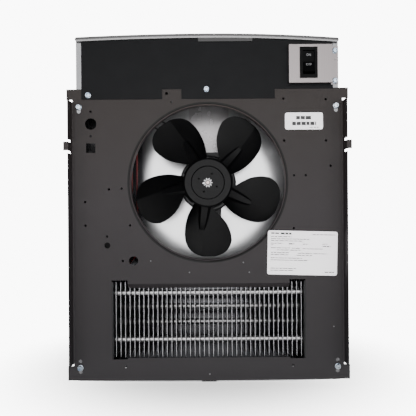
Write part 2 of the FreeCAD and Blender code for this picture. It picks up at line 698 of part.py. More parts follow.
def make_fan_deck():
    """Painted front panel: orifice, element window, flanges, ears, latch tabs and punched holes."""
    gauge = D.deck_gauge
    bend, half = D.deck_bend_width / 2, D.deck_width / 2
    sheet = (DECK_FRONT, PAN_FRONT)
    apron = D.deck_base - D.deck_base_bow
    round_edge = bow_radius(half, D.deck_base_bow)
    flange_low = D.deck_base + D.ear_base + D.bend_relief
    flange_high = D.deck_top - D.ear_top - D.bend_relief
    pieces = [
        box("deck_plate", (-bend, bend), sheet, (D.deck_base, D.deck_top)),
        box("deck_tongue", (D.tongue_left, D.tongue_right), sheet, (D.deck_top - PAST, D.deck_top + D.tongue_rise)),
        box("deck_foot", (-D.foot_width / 2, D.foot_width / 2), sheet, (D.deck_base - D.foot_drop, D.deck_base + PAST)),
        box("deck_ears_top", (-half, half), sheet, (D.deck_top - D.ear_top, D.deck_top)),
        common("deck_ears_base", box("deck_apron", (-half, half), sheet, (apron, D.deck_base + D.ear_base)),
               rod("deck_apron_bow", "y", (0, DECK_FRONT - PAST, apron + round_edge), round_edge, gauge + 2 * PAST)),
    ]
    tools = [
        bore("orifice_hole", 0, D.fan_height, D.orifice_radius + D.collar_land, DECK_FRONT, PAN_FRONT),
        box("window_hole", (-D.window_width / 2, D.window_width / 2), (DECK_FRONT - PAST, PAN_FRONT + PAST),
            (D.window_base, D.window_top)),
        box("square_hole_tool", (D.square_hole_x - D.square_hole / 2, D.square_hole_x + D.square_hole / 2),
            (DECK_FRONT - PAST, PAN_FRONT + PAST),
            (D.square_hole_z - D.square_hole / 2, D.square_hole_z + D.square_hole / 2)),
    ]
    latch_low = D.latch_height - D.latch_size / 2
    latch_high = D.latch_height + D.latch_size / 2
    slit_rear = FLANGE_FRONT + D.latch_slit_depth
    for side, sign in (("left", -1), ("right", 1)):
        walls, reach = span(sign, bend - gauge, bend), span(sign, bend - gauge, bend + D.latch_reach)
        slit = span(sign, bend - gauge - PAST, bend + PAST)
        pieces.append(box(f"deck_flange_{side}", walls, (FLANGE_FRONT, PAN_FRONT), (flange_low, flange_high)))
        pieces.append(box(f"latch_{side}", reach, (FLANGE_FRONT, FLANGE_FRONT + gauge), (latch_low, latch_high)))
        filler, trim = side_bend(side, sign, bend, flange_low, flange_high)
        pieces.append(filler)
        tools.append(trim)
        for level, low, high in (("top", flange_high, D.deck_top - D.ear_top),
                                 ("base", D.deck_base + D.ear_base, flange_low)):
            tools.append(box(f"bend_relief_{level}_{side}", span(sign, bend - D.flange_bend, half + PAST),
                             (DECK_FRONT - PAST, PAN_FRONT + PAST), (low, high)))
        for level, low in (("under", latch_low - D.latch_relief), ("over", latch_high)):
            tools.append(box(f"latch_slit_{level}_{side}", slit, (FLANGE_FRONT - PAST, slit_rear),
                             (low, low + D.latch_relief)))
        start = D.window_width / 2 + D.notch_outside
        tools.append(box(f"notch_{side}", span(sign, start - D.notch_width, start), (DECK_FRONT - PAST, PAN_FRONT + PAST),
                         (D.window_base - D.notch_drop, D.window_top + D.notch_rise)))
    for label, across, up in DECK_SCREWS:
        tools.append(slot(f"deck_slot_{label}", across, up - D.deck_slot_shift, D.deck_slot_width,
                          D.deck_slot_length, DECK_FRONT, PAN_FRONT))
    for side, across in both_sides(DECK_SCREW_X):
        tools.append(bore(f"pilot_{side}", across, D.deck_screw_base + D.pilot_rise, D.pilot_hole / 2,
                          DECK_FRONT, PAN_FRONT))
    for name, *_ in DECK_HOLES:
        across, up, wide = (getattr(D, f"{name}_{part}") for part in ("x", "z", "hole"))
        tools.append(bore(f"deck_hole_{name}", across, up, wide / 2, DECK_FRONT, PAN_FRONT))
    tools += screw_holes("deck_cover_hole", COVER_SCREWS, DECK_FRONT, PAN_FRONT)
    blank = cut("deck_blank", fuse("deck_sheet", pieces), tools)
    lip_half = D.window_width / 2 + D.notch_outside - D.notch_width
    lip = padded("window_lip", "YZ_Plane", [
        (DECK_FRONT, D.window_top), (PAN_FRONT, D.window_top), (PAN_FRONT + D.lip_depth, D.window_top - D.lip_drop),
        (PAN_FRONT + D.lip_depth - gauge, D.window_top - D.lip_drop - gauge / 2)], -lip_half, lip_half)
    finish(fuse("fan_deck", [blank, make_collar(), lip]))


def make_wiring_cover():
    """Plate over the wiring space, with a notch, a stepped edge and a clearance cut for the switch."""
    sheet = (COVER_FRONT, DECK_FRONT)
    through = (COVER_FRONT - PAST, DECK_FRONT + PAST)
    plate = common("cover_plate", box("cover_blank", (-COVER_EDGE, COVER_EDGE), sheet, (D.cover_base, RAIL_CROWN)),
                   below_rail("cover_crest", COVER_SEAT, *through))
    room = D.bezel_thick
    tools = [
        box("cover_notch", (D.cover_notch_left, D.cover_notch_right), through,
            (D.cover_base - PAST, D.cover_notch_top)),
        box("cover_step", (D.cover_step_x, COVER_EDGE + PAST), through, (D.cover_base - PAST, D.cover_step_z)),
        box("cover_switch_cut", (SWITCH_X - D.switch_body_width / 2 - room, SWITCH_X + D.switch_body_width / 2 + room),
            through, (D.switch_z - D.switch_body_height / 2 - room, D.switch_z + D.switch_body_height / 2 + room)),
    ]
    tools.append(box("cover_bracket_notch", (BRACKET_WEB - D.cover_bracket_room, COVER_EDGE + PAST), through,
                     (D.bracket_base - D.cover_bracket_room, D.bracket_top + D.cover_bracket_room)))
    tools += screw_holes("cover_hole", COVER_SCREWS, COVER_FRONT, DECK_FRONT)
    finish(cut("wiring_cover", plate, tools))


def make_wiring_barrier():
    """Shelf between the wiring space and the air space, with a flange on the pan."""
    half = D.pan_width / 2 - D.pan_gauge - D.barrier_room
    low, gauge = D.barrier_height, D.barrier_gauge
    front = PAN_FRONT + D.barrier_room
    shelf = padded("barrier_sheet", "YZ_Plane", [
        (front, low), (PAN_FLOOR, low), (PAN_FLOOR, low + D.barrier_flange),
        (PAN_FLOOR - gauge, low + D.barrier_flange), (PAN_FLOOR - gauge, low + gauge), (front, low + gauge)],
        -half, half)
    hole = rod("barrier_hole", "z", (D.bushing_x, -D.bushing_back, low - PAST),
               D.bushing_radius + D.tube_fit, gauge + 2 * PAST)
    notch = box("barrier_screw_notch", (COVER_SCREW_X - D.screw_washer / 2, COVER_SCREW_X + D.screw_washer / 2),
                (front - PAST, COVER_FRONT + D.screw_length + PAST), (low - PAST, low + gauge + PAST))
    corners = [box(f"barrier_corner_{side}", span(sign, half - D.pan_leg, half + PAST),
                   (PAN_FLOOR - D.pan_gauge - D.barrier_room, PAST), (low - PAST, low + D.barrier_flange + PAST))
               for side, sign in (("left", -1), ("right", 1))]
    finish(cut("wiring_barrier", shelf, [hole, notch] + corners))
    barrel = rod("bushing_barrel", "z", (D.bushing_x, -D.bushing_back, low - D.bushing_lip),
                 D.bushing_radius, gauge + 2 * D.bushing_lip)
    lips = [rod(f"bushing_lip_{level}", "z", (D.bushing_x, -D.bushing_back, start),
                D.bushing_radius + D.bushing_lip, D.bushing_lip)
            for level, start in (("under", low - D.bushing_lip), ("over", low + gauge))]
    opening = rod("bushing_opening", "z", (D.bushing_x, -D.bushing_back, low - D.bushing_lip - PAST),
                  D.bushing_bore, gauge + 2 * D.bushing_lip + 2 * PAST)
    finish(cut("lead_bushing", fuse("bushing_blank", [barrel] + lips), [opening]))


def make_switch_bracket():
    """Bent plate with turned back edges that carries the switch in front of the wiring cover."""
    gauge = D.bracket_gauge
    right = PAN_EDGE
    bent = padded("bracket_sheet", "XY_Plane", [
        (BRACKET_LEFT, PLATE_FRONT), (BRACKET_WEB + gauge, PLATE_FRONT),
        (BRACKET_WEB + gauge, PAN_FRONT - gauge), (right, PAN_FRONT - gauge), (right, PAN_FRONT),
        (BRACKET_WEB, PAN_FRONT), (BRACKET_WEB, PLATE_FRONT + gauge), (BRACKET_LEFT, PLATE_FRONT + gauge)],
        D.bracket_base, D.bracket_top)
    deep, across = (PLATE_FRONT, PLATE_FRONT + D.bracket_return), (BRACKET_LEFT, BRACKET_WEB - D.bracket_relief)
    bent = fuse("bracket_form", [
        bent,
        box("bracket_edge_base", across, deep, (D.bracket_base, D.bracket_base + gauge)),
        box("bracket_edge_top", across, deep, (D.bracket_top - gauge, D.bracket_top)),
        box("bracket_edge_left", (BRACKET_LEFT, BRACKET_LEFT + gauge), deep, (D.bracket_base, D.bracket_top))])
    fit = D.rocker_room
    window = box("bracket_window", (SWITCH_X - D.switch_body_width / 2 - fit, SWITCH_X + D.switch_body_width / 2 + fit),
                 (PLATE_FRONT - PAST, PLATE_FRONT + gauge + PAST),
                 (D.switch_z - D.switch_body_height / 2 - fit, D.switch_z + D.switch_body_height / 2 + fit))
    tools = [window] + screw_holes("bracket_hole", BRACKET_SCREWS, PAN_FRONT - gauge, PAN_FRONT)
    spare_up = (D.bracket_screw_top + D.bracket_screw_base) / 2 + D.screw_washer
    tools.append(bore("bracket_spare_hole", BRACKET_SCREW_X, spare_up, SCREW_HOLE / 2, PAN_FRONT - gauge, PAN_FRONT))
    finish(cut("switch_bracket", bent, tools))


def make_switch():
    """Rocker switch: housing with bezel, rocker on side pivots, and spade terminals."""
    across, up = SWITCH_X, D.switch_z
    half_body, half_rocker = D.switch_body_width / 2, D.rocker_width / 2
    pivot_back = BEZEL_FRONT + D.rocker_pivot
    bezel = box("switch_bezel", (across - D.bezel_width / 2, across + D.bezel_width / 2), (BEZEL_FRONT, PLATE_FRONT),
                (up - D.bezel_height / 2, up + D.bezel_height / 2))
    barrel = box("switch_barrel", (across - half_body, across + half_body), (BEZEL_FRONT, PLATE_FRONT + D.switch_body_depth),
                 (up - D.switch_body_height / 2, up + D.switch_body_height / 2))
    pocket_half = half_rocker + D.rocker_room
    pocket_rear = pivot_back + D.pivot_radius * 3.2
    pocket = box("rocker_pocket", (across - pocket_half, across + pocket_half), (BEZEL_FRONT - PAST, pocket_rear),
                 (up - D.rocker_pocket_height / 2, up + D.rocker_pocket_height / 2))
    pivot_half = pocket_half + D.pivot_reach
    seat = rod("pivot_seat", "x", (across - pivot_half - D.running_fit, pivot_back, up),
               D.pivot_radius + D.running_fit, 2 * (pivot_half + D.running_fit))
    finish(cut("switch_housing", fuse("switch_blank", [bezel, barrel]), [pocket, seat]))

    # The rocker lies with its upper end pressed in, and the lower end stands proud
    crest, dip, skirt, keel = (D.pivot_radius * share for share in (-5.3, -3.9, -3.2, 1.6))
    half_length = D.rocker_length / 2
    paddle = padded("rocker_paddle", "YZ_Plane", [
        (crest, half_length), (dip, 0), (crest, -half_length), (skirt, -half_length),
        (keel, -half_length / 3), (keel, half_length / 3), (skirt, half_length)], -half_rocker, half_rocker)
    paddle.Placement = FreeCAD.Placement(Vector(), FreeCAD.Rotation(Vector(1, 0, 0), -1))
    bind(paddle, "Placement.Rotation.Angle", -D.rocker_tilt)
    place(paddle, across - half_rocker, pivot_back, up)
    pivot = rod("rocker_pivot_bar", "x", (across - pivot_half, pivot_back, up), D.pivot_radius, 2 * pivot_half)
    finish(fuse("switch_rocker", [paddle, pivot]))

    rear = PLATE_FRONT + D.switch_body_depth
    spades = [box(f"spade_{label}", (across - D.spade_thick / 2, across + D.spade_thick / 2),
                  (rear, rear + D.spade_length),
                  (up + shift * D.spade_pitch - D.spade_width / 2, up + shift * D.spade_pitch + D.spade_width / 2))
              for label, shift in (("low", -1), ("middle", 0), ("high", 1))]
    finish(group("switch_terminals", spades))


def make_motor():
    """Shaded-pole motor on a strap: strap, shell, bell, stator, windings, bearings and screws."""
    up = D.fan_height
    half, foot, gauge = D.strap_span / 2, D.strap_foot, D.strap_gauge
    rear = PAN_FLOOR
    low, high = up - half, up + half
    bent = padded("strap_sheet", "YZ_Plane", [
        (rear, low - foot), (rear, low), (STRAP_REAR, low), (STRAP_REAR, high), (rear, high), (rear, high + foot),
        (rear - gauge, high + foot), (rear - gauge, high + gauge), (SHELL_REAR, high + gauge),
        (SHELL_REAR, low - gauge), (rear - gauge, low - gauge), (rear - gauge, low - foot)],
        -D.strap_width / 2, D.strap_width / 2)
    screws = [(level, as_size(0), up + sign * D.motor_screw_span / 2) for level, sign in (("low", -1), ("high", 1))]
    finish(cut("motor_bracket", bent, screw_holes("strap_hole", screws, SHELL_REAR, STRAP_REAR)))

    wall, outer = D.motor_wall, D.motor_radius
    cup = revolved("shell_cup", [
        (0, SHELL_REAR), (outer, SHELL_REAR), (outer, BELL_REAR), (outer - wall, BELL_REAR),
        (outer - wall, SHELL_REAR - wall), (0, SHELL_REAR - wall)], up)
    finish(cut("motor_shell", cup, screw_holes("shell_hole", screws, SHELL_REAR - wall, SHELL_REAR)))
    eye = D.bearing_radius + D.tube_fit
    finish(revolved("motor_front_bell", [
        (eye, BELL_FRONT), (outer - 2 * wall, BELL_FRONT), (outer, BELL_FRONT + 2 * wall), (outer, BELL_REAR),
        (outer - wall, BELL_REAR), (outer - wall, BELL_FRONT + 2 * wall), (outer - 2 * wall, BELL_FRONT + wall),
        (eye, BELL_FRONT + wall)], up))

    sleeve = D.shaft_radius + D.running_fit
    shell_floor = SHELL_REAR - wall
    finish(revolved("rear_bearing", [
        (sleeve, shell_floor), (D.bearing_radius, shell_floor), (D.bearing_radius, shell_floor - D.bearing_length),
        (sleeve, shell_floor - D.bearing_length)], up))
    nose, bell_floor = BELL_FRONT - D.bearing_nose, BELL_FRONT + wall
    finish(revolved("front_bearing", [
        (sleeve, nose), (D.bearing_radius, nose), (D.bearing_radius, bell_floor), (D.bearing_flange, bell_floor),
        (D.bearing_flange, bell_floor + 2 * wall), (D.bearing_radius, bell_floor + 2 * wall),
        (D.bearing_radius, bell_floor + 4 * wall), (sleeve, bell_floor + 4 * wall)], up))

    rim = outer - wall - D.tube_fit
    finish(revolved("stator_core", [
        (D.core_bore, CORE_FRONT), (rim, CORE_FRONT), (rim, CORE_REAR), (D.core_bore, CORE_REAR)], up))
    coils = [revolved(f"winding_{side}", [
        (D.coil_inner, low), (D.coil_outer, low), (D.coil_outer, low + D.coil_rise), (D.coil_inner, low + D.coil_rise)], up)
        for side, low in (("front", CORE_FRONT - D.coil_rise), ("rear", CORE_REAR))]
    finish(group("stator_windings", coils))
    finish(group("motor_screws", [motor_screw(*spot) for spot in screws]))


def motor_screw(level, across, up):
    """Pan head screw from behind the strap into the motor shell."""
    head = rod(f"motor_screw_head_{level}", "y", (across, STRAP_REAR, up), D.screw_washer / 2, D.screw_head)
    shank = rod(f"motor_screw_shank_{level}", "-y", (across, STRAP_REAR + D.screw_head / 2, up), D.screw_shank / 2,
                D.screw_head / 2 + D.strap_gauge + 2 * D.motor_wall)
    return fuse(f"motor_screw_{level}", [head, shank])


def station_at(share):
    """Blade station at any share of the tip radius, between the listed ones."""
    for before, after in zip(BLADE_STATIONS, BLADE_STATIONS[1:]):
        if before[0] <= share <= after[0]:
            part = (share - before[0]) / (after[0] - before[0])
            return tuple(low + (high - low) * part for low, high in zip(before, after))
    raise ValueError(f"no blade at {share}")


def blade_level(station, across):
    """Place along Y of a blade's middle surface at a distance beside its middle line."""
    _, _, slope_before, slope_after = station
    crease_level = HUB_FRONT + D.blade_middle + D.blade_crease * slope_before
    across = as_size(across)
    slope = slope_before if across.value <= D.blade_crease.value else slope_after
    return crease_level + (across - D.blade_crease) * slope


def section(body, name, corners, share):
    """Sketch across a blade at a share of the tip radius from the fan axis."""
    sketch = outline(body, name, "XY_Plane", corners)
    bind(sketch, "AttachmentOffset.Base.z", D.fan_radius * share)
    return sketch


def loft(body, name, sketches):
    """Additive loft through the sections."""
    feature = body.newObject("PartDesign::AdditiveLoft", name)
    feature.Profile = sketches[0]
    feature.Sections = sketches[1:]
    feature.Ruled = False
    return feature


def make_fan_wheel():
    """Fan wheel: dished hub and five creased, twisted blades, each with a tapered arm on its face."""
    inner = D.shaft_radius + D.running_fit
    wall, dish, outer = D.hub_wall, D.hub_dish_radius, D.hub_radius
    disc_rear = DISC_FRONT + wall
    body = revolved("fan_form", [
        (inner, DISC_FRONT), (dish, DISC_FRONT), (dish + wall / 2, HUB_FRONT), (outer - wall, HUB_FRONT),
        (outer, HUB_FRONT + wall), (outer, HUB_FRONT + D.hub_skirt), (outer - wall, HUB_FRONT + D.hub_skirt),
        (outer - wall, HUB_FRONT + wall), (dish + 1.5 * wall, HUB_FRONT + wall), (dish + wall, disc_rear),
        (D.boss_radius, disc_rear), (D.boss_radius, DISC_FRONT + D.boss_length), (inner, DISC_FRONT + D.boss_length)],
        D.fan_height)
    half_thick = D.blade_thick / 2
    blade_sections = []
    for number, station in enumerate(BLADE_STATIONS):
        share, width = station[:2]
        crease = D.blade_crease if width / 2 > D.blade_crease.value else as_size(width / 4)
        stops = (as_size(-width / 2), crease, as_size(width / 2))
        front = [(stop, blade_level(station, stop) - half_thick) for stop in stops]
        rear = [(stop, blade_level(station, stop) + half_thick) for stop in reversed(stops)]
        blade_sections.append(section(body, f"blade_section_{number}", front + rear, share))
    blade = loft(body, "blade", blade_sections)
    arm_sections = []
    for number, (share, width, rise) in enumerate(ARM_STATIONS):
        station = station_at(share)
        middle = D.fan_radius * (share * ARM_SHIFT)
        stops = [(middle - width / 2, 0), (middle - width / 4, rise), (middle + width / 4, rise), (middle + width / 2, 0)]
        corners = [(stop, blade_level(station, stop) - lift) for stop, lift in stops]
        arm_sections.append(section(body, f"arm_section_{number}", corners, share))
    arm = loft(body, "blade_arm", arm_sections)
    pattern = body.newObject("PartDesign::PolarPattern", "blade_pattern")
    pattern.Originals = [blade, arm]
    pattern.Axis = (origin_feature(body, "Y_Axis"), [""])
    pattern.Angle = 360
    pattern.Occurrences = BLADE_COUNT
    body.Tip = pattern
    body.Placement = FreeCAD.Placement(Vector(), FreeCAD.Rotation(Vector(0, 1, 0), 180))
    holes = []
    for quarter in range(4):
        angle = math.radians(66 + 90 * quarter)
        holes.append(bore(f"dish_hole_{quarter}", D.dish_hole_circle * math.cos(angle),
                          D.fan_height + D.dish_hole_circle * math.sin(angle), D.dish_hole / 2, DISC_FRONT, disc_rear))
    finish(cut("fan_wheel", body, holes))


def make_spindle():
    """What turns with the fan: shaft, rotor and toothed push nut."""
    up, rear = D.fan_height, SHELL_REAR - D.motor_wall - 1.0
    tip = DISC_FRONT - D.shaft_past_disc
    finish(rod("motor_shaft", "y", (0, tip, up), D.shaft_radius, rear - tip))
    inner, outer = D.shaft_radius + D.running_fit, D.core_bore - D.air_gap
    finish(revolved("motor_rotor", [(inner, CORE_FRONT), (outer, CORE_FRONT), (outer, CORE_REAR), (inner, CORE_REAR)], up))
    disc = rod("nut_disc", "-y", (0, DISC_FRONT, up), D.nut_radius, D.nut_thick)
    tools = [bore("nut_eye", 0, up, inner, DISC_FRONT - D.nut_thick, DISC_FRONT)]
    teeth = 8
    for number in range(teeth):
        angle = 2 * math.pi * number / teeth
        tools.append(bore(f"nut_gap_{number}", D.nut_radius * math.cos(angle), up + D.nut_radius * math.sin(angle),
                          D.nut_thick, DISC_FRONT - D.nut_thick, DISC_FRONT))
    finish(cut("push_nut", disc, tools))


TUBE_ROWS = [("a", TUBE_FRONT, D.tube_row_a), ("b", TUBE_REAR, D.tube_row_b),
             ("c", TUBE_REAR, D.tube_row_c), ("d", TUBE_FRONT, D.tube_row_d)]


def make_fins():
    """Stack of plate fins on the heating tubes."""
    body = doc.addObject("PartDesign::Body", "element_fins")
    body.AllowCompound = True
    sketch = outline(body, "fin_profile", "YZ_Plane", [
        (FIN_FRONT, D.fin_base), (FIN_FRONT + D.fin_depth, D.fin_base),
        (FIN_FRONT + D.fin_depth, D.fin_top), (FIN_FRONT, D.fin_top)])
    add_tube_holes(sketch)
    pad = body.newObject("PartDesign::Pad", "fin_pad")
    pad.Profile = sketch
    bind(pad, "Length", D.fin_gauge)
    stack = body.newObject("PartDesign::LinearPattern", "fin_stack")
    stack.Originals = [pad]
    stack.Direction = (origin_feature(body, "X_Axis"), [""])
    stack.Occurrences = FIN_COUNT
    bind(stack, "Length", D.fin_pitch * (FIN_COUNT - 1))
    body.Tip = stack
    bind(body, "Placement.Base.x", -D.fin_pitch * ((FIN_COUNT - 1) / 2) - D.fin_gauge / 2)
    finish(body)


def add_tube_holes(sketch):
    """Round holes for the four tube rows in a sketch on the YZ plane."""
    radius = D.tube_radius + D.tube_fit
    for _, back, up in TUBE_ROWS:
        circle = Part.Circle(Vector(back.value, up.value, 0), Vector(0, 0, 1), radius.value)
        number = sketch.addGeometry(circle, False)
        for kind, amount in (("DistanceX", back), ("DistanceY", up)):
            index = sketch.addConstraint(Sketcher.Constraint(kind, -1, 1, number, 3, amount.value))
            sketch.setExpression(f"Constraints[{index}]", amount.formula)
        index = sketch.addConstraint(Sketcher.Constraint("Radius", number, radius.value))
        sketch.setExpression(f"Constraints[{index}]", radius.formula)


def make_element_brackets():
    """Sheet brackets that carry the tubes and rest on the back of the deck."""
    low, high = D.fin_base - D.end_plate_margin, D.fin_top + D.end_plate_margin
    rear = FIN_FRONT + D.fin_depth + D.end_plate_margin
    gauge = D.end_plate_gauge
    for side, sign in (("left", -1), ("right", 1)):
        near, far = sign * END_PLATE, sign * (END_PLATE + gauge)
        wall = sorted((near, far), key=lambda amount: amount.value)
        lap = sorted((near, sign * (END_PLATE + D.end_plate_lap)), key=lambda amount: amount.value)
        bent = fuse(f"end_plate_{side}", [
            box(f"end_wall_{side}", wall, (PAN_FRONT, rear), (low, high)),
            box(f"end_lap_{side}", lap, (PAN_FRONT, PAN_FRONT + gauge), (low, high))])
        holes = [rod(f"end_hole_{side}_{row}", "x", (wall[0] - PAST, back, up), D.tube_radius + D.tube_fit, gauge + 2 * PAST)
                 for row, back, up in TUBE_ROWS]
        finish(cut(f"element_bracket_{side}", bent, holes))


def swept_tube(edges, radius):
    """Solid of a round section along a smooth path, checked against its length."""
    path = Part.Wire(edges)
    first = edges[0]
    start = first.valueAt(first.FirstParameter)
    heading = first.tangentAt(first.FirstParameter)
    ring = Part.Wire(Part.makeCircle(radius, start, heading))
    solid = path.makePipeShell([ring], True, False)
    expected = math.pi * radius ** 2 * path.Length
    if abs(solid.Volume / expected - 1) > 0.01:
        raise ValueError(f"swept tube has {solid.Volume:.1f} of {expected:.1f} cubic millimetres")
    return solid


def make_hairpin(name, first_row, second_row):
    """Heating tube that runs out, turns back and ends beside its start."""
    (_, back_a, up_a), (_, back_b, up_b) = first_row, second_row
    turn_x = (END_PLATE + D.end_plate_gauge + D.tube_past_plate).value
    start_a, end_a = Vector(TUBE_END.value, back_a.value, up_a.value), Vector(turn_x, back_a.value, up_a.value)
    start_b, end_b = Vector(TUBE_END.value, back_b.value, up_b.value), Vector(turn_x, back_b.value, up_b.value)
    crest = (end_a + end_b) * 0.5 + Vector((end_b - end_a).Length / 2, 0, 0)
    edges = [Part.LineSegment(start_a, end_a).toShape(), Part.Arc(end_a, crest, end_b).toShape(),
             Part.LineSegment(end_b, start_b).toShape()]
    tube = doc.addObject("Part::Feature", name)
    tube.Shape = swept_tube(edges, D.tube_radius.value)
    finish(tube)


def make_element_ends():
    """Insulators and terminal pins at the tube ends, and the strap that joins two of the pins."""
    finish(group("element_insulators", [
        rod(f"insulator_{row}", "x", (INSULATOR_END, back, up), D.insulator_radius, D.insulator_length)
        for row, back, up in TUBE_ROWS]))
    finish(group("element_pins", [
        rod(f"pin_{row}", "x", (PIN_END, back, up), D.pin_radius, D.pin_length) for row, back, up in TUBE_ROWS]))
    jumper_left = INSULATOR_END - D.pin_length / 2
    half = D.jumper_width / 2
    strap = box("jumper_strap", (jumper_left, jumper_left + D.jumper_gauge), (TUBE_REAR - half, TUBE_REAR + half),
                (D.tube_row_c - half, D.tube_row_b + half))
    holes = [rod(f"jumper_hole_{row}", "x", (jumper_left - PAST, back, up), D.pin_radius + D.tube_fit,
                 D.jumper_gauge + 2 * PAST) for row, back, up in TUBE_ROWS[1:3]]
    finish(cut("element_jumper", strap, holes))


def make_disc_switch(name, across, up, upright):
    """Thermal disc on a small plate behind the deck, with two blade terminals at its rear."""
    long_half, wide_half = D.disc_plate_length / 2, D.disc_plate_width / 2
    reach_x, reach_z = (wide_half, long_half) if upright else (long_half, wide_half)
    rear = PAN_FRONT + D.disc_plate
    plate = box(f"{name}_plate", (across - reach_x, across + reach_x), (PAN_FRONT, rear), (up - reach_z, up + reach_z))
    disc = rod(f"{name}_disc", "y", (across, PAN_FRONT, up), D.disc_radius, D.disc_depth)
    step = D.disc_radius / 2
    blades = []
    for label, shift in (("low", -step), ("high", step)):
        spot = (across, up + shift) if upright else (across + shift, up)
        blades.append(box(f"{name}_blade_{label}", (spot[0] - D.spade_thick / 2, spot[0] + D.spade_thick / 2),
                          (PAN_FRONT + D.disc_depth - PAST, PAN_FRONT + D.disc_depth + D.spade_length),
                          (spot[1] - D.spade_thick * 2, spot[1] + D.spade_thick * 2)))
    finish(fuse(name, [plate, disc] + blades))


def make_terminal_block():
    """Supply terminal block with barriers between its screws, and the ground screw."""
    across, up = D.block_x, D.block_z
    half, tall = D.block_length / 2, D.block_height / 2
    base_front = PAN_FLOOR - D.block_depth
    poles = 4
    step = (D.block_length - D.block_wall) / poles
    pieces = [box("block_base", (across - half, across + half), (base_front, PAN_FLOOR), (up - tall, up + tall))]
    for number in range(poles + 1):
        left = across - half + step * number
        pieces.append(box(f"block_wall_{number}", (left, left + D.block_wall), (base_front - D.block_rise, base_front + PAST),
                          (up - tall, up + tall)))
    finish(fuse("terminal_block", pieces))
    screws = [rod(f"block_screw_{number}", "-y", (across - half + D.block_wall / 2 + step * (number + 0.5), base_front, up),
                  D.screw_hex / 2, D.screw_head) for number in range(poles)]
    finish(group("terminal_screws", screws))
    finish(screw("ground_screw", D.ground_x, D.ground_z, PAN_FLOOR - D.ground_boss))


def make_fasteners():
    """Hex washer head screws of the deck, the wiring cover and the switch bracket."""
    for name, screws, seat in (("deck_screws", DECK_SCREWS, DECK_FRONT), ("cover_screws", COVER_SCREWS, COVER_FRONT),
                               ("bracket_screws", BRACKET_SCREWS, PAN_FRONT - D.bracket_gauge)):
        finish(group(name, [screw(f"{name}_{label}", across, up, seat) for label, across, up in screws]))


def lead(name, points):
    """Insulated lead along hand-chosen points, its corners rounded by arcs as large as the runs allow."""
    points = [Vector(*point) for point in points]
    edges, start, radii = [], points[0], []
    for before, corner, after in zip(points, points[1:], points[2:]):
        toward, onward = (before - corner), (after - corner)
        turn = math.pi - toward.getAngle(onward)
        trim = 0.45 * min(toward.Length, onward.Length)
        radii.append(trim / math.tan(turn / 2))
        enter = corner + toward.normalize() * trim
        leave = corner + onward.normalize() * trim
        bisector = (toward + onward).normalize()
        depth = radii[-1] / math.cos(turn / 2) - radii[-1]
        edges.append(Part.LineSegment(start, enter).toShape())
        edges.append(Part.Arc(enter, corner + bisector * depth, leave).toShape())
        start = leave
    edges.append(Part.LineSegment(start, points[-1]).toShape())
    tube = doc.addObject("Part::Feature", name)
    tube.Shape = swept_tube(edges, D.lead_diameter.value / 2)
    print(name, "bend radii", ", ".join(f"{radius:.1f}" for radius in radii))
    finish(tube)


def make_leads():
    """Leads from the wiring space through the bushing to the limit switch, the element and the motor."""
    bush_x, bush_y = D.bushing_x.value, -D.bushing_back.value
    shelf = D.barrier_height.value
    block_front = (PAN_FLOOR - D.block_depth - D.screw_head).value
    step = (D.block_length.value - D.block_wall.value) / 4
    first_screw = D.block_x.value - D.block_length.value / 2 + D.block_wall.value / 2 + step / 2
    block_z = D.block_z.value
    limit_rear = (PAN_FRONT + D.disc_depth + D.spade_length).value
    gap = 0.2
    lead_half = D.lead_diameter.value / 2
    pin_x = PIN_END.value - gap

    lead("lead_supply", [
        (first_screw, block_front - gap, block_z), (first_screw, -34, block_z), (-88, -46, 184),
        (bush_x - 2.6, bush_y - 2.6, 172), (bush_x - 2.6, bush_y - 2.6, 120), (-108, -50, 70), (-108, -50, 10),
        (-118, -58, -25), (D.limit_x.value, limit_rear + 9, D.limit_z.value + 18),
        (D.limit_x.value, limit_rear + 8, D.limit_z.value + 4), (D.limit_x.value, limit_rear + gap, D.limit_z.value + 4)])
    lead("lead_return", [
        (first_screw + step, block_front - gap, block_z), (first_screw + step, -36, block_z), (-78, -50, 182),
        (bush_x + 2.6, bush_y - 2.6, 170), (bush_x + 2.6, bush_y - 2.6, 120), (-101, -48, 60), (-101, -48, 0),
        (-99, -50, -60), (-112, -46, -80), (-144, -34, -90), (-151.5, -24, -136), (-152.5, -36, -176),
        (PIN_END.value + D.pin_length.value / 4, TUBE_FRONT.value + D.pin_radius.value + lead_half + gap, -181.6)])
    lead("lead_limit_to_element", [
        (D.limit_x.value, limit_rear + gap, D.limit_z.value - 4), (D.limit_x.value, limit_rear + 8, D.limit_z.value - 5),
        (-141, limit_rear + 9, -74), (-150, limit_rear + 2, -98),
        (PIN_END.value + D.pin_length.value / 4, TUBE_FRONT.value, D.tube_row_a.value + D.pin_radius.value + lead_half + gap)])
    skin = D.motor_radius.value + gap
    for label, angle, shift, column, rise in (("a", 130, -2.6, 2, 140), ("b", 120, 2.6, 3, 143)):
        screw_x = first_screw + step * column
        out_x, out_z = math.cos(math.radians(angle)), math.sin(math.radians(angle))
        away = [(reach * out_x, back, D.fan_height.value + reach * out_z)
                for reach, back in ((skin, -28), (skin + 18, -28), (skin + 54, -32))]
        lead(f"motor_lead_{label}", away + [
            (bush_x + 18 + 3 * shift, bush_y + 5, rise - 12), (bush_x + shift, bush_y + 3, rise),
            (bush_x + shift, bush_y + 3, shelf + 18 - shift), (bush_x + 20 + shift, -34, shelf + 20 - 2 * shift),
            (screw_x - 8, -34, block_z - 8 - shift), (screw_x, -30, block_z), (screw_x, block_front - gap, block_z)])


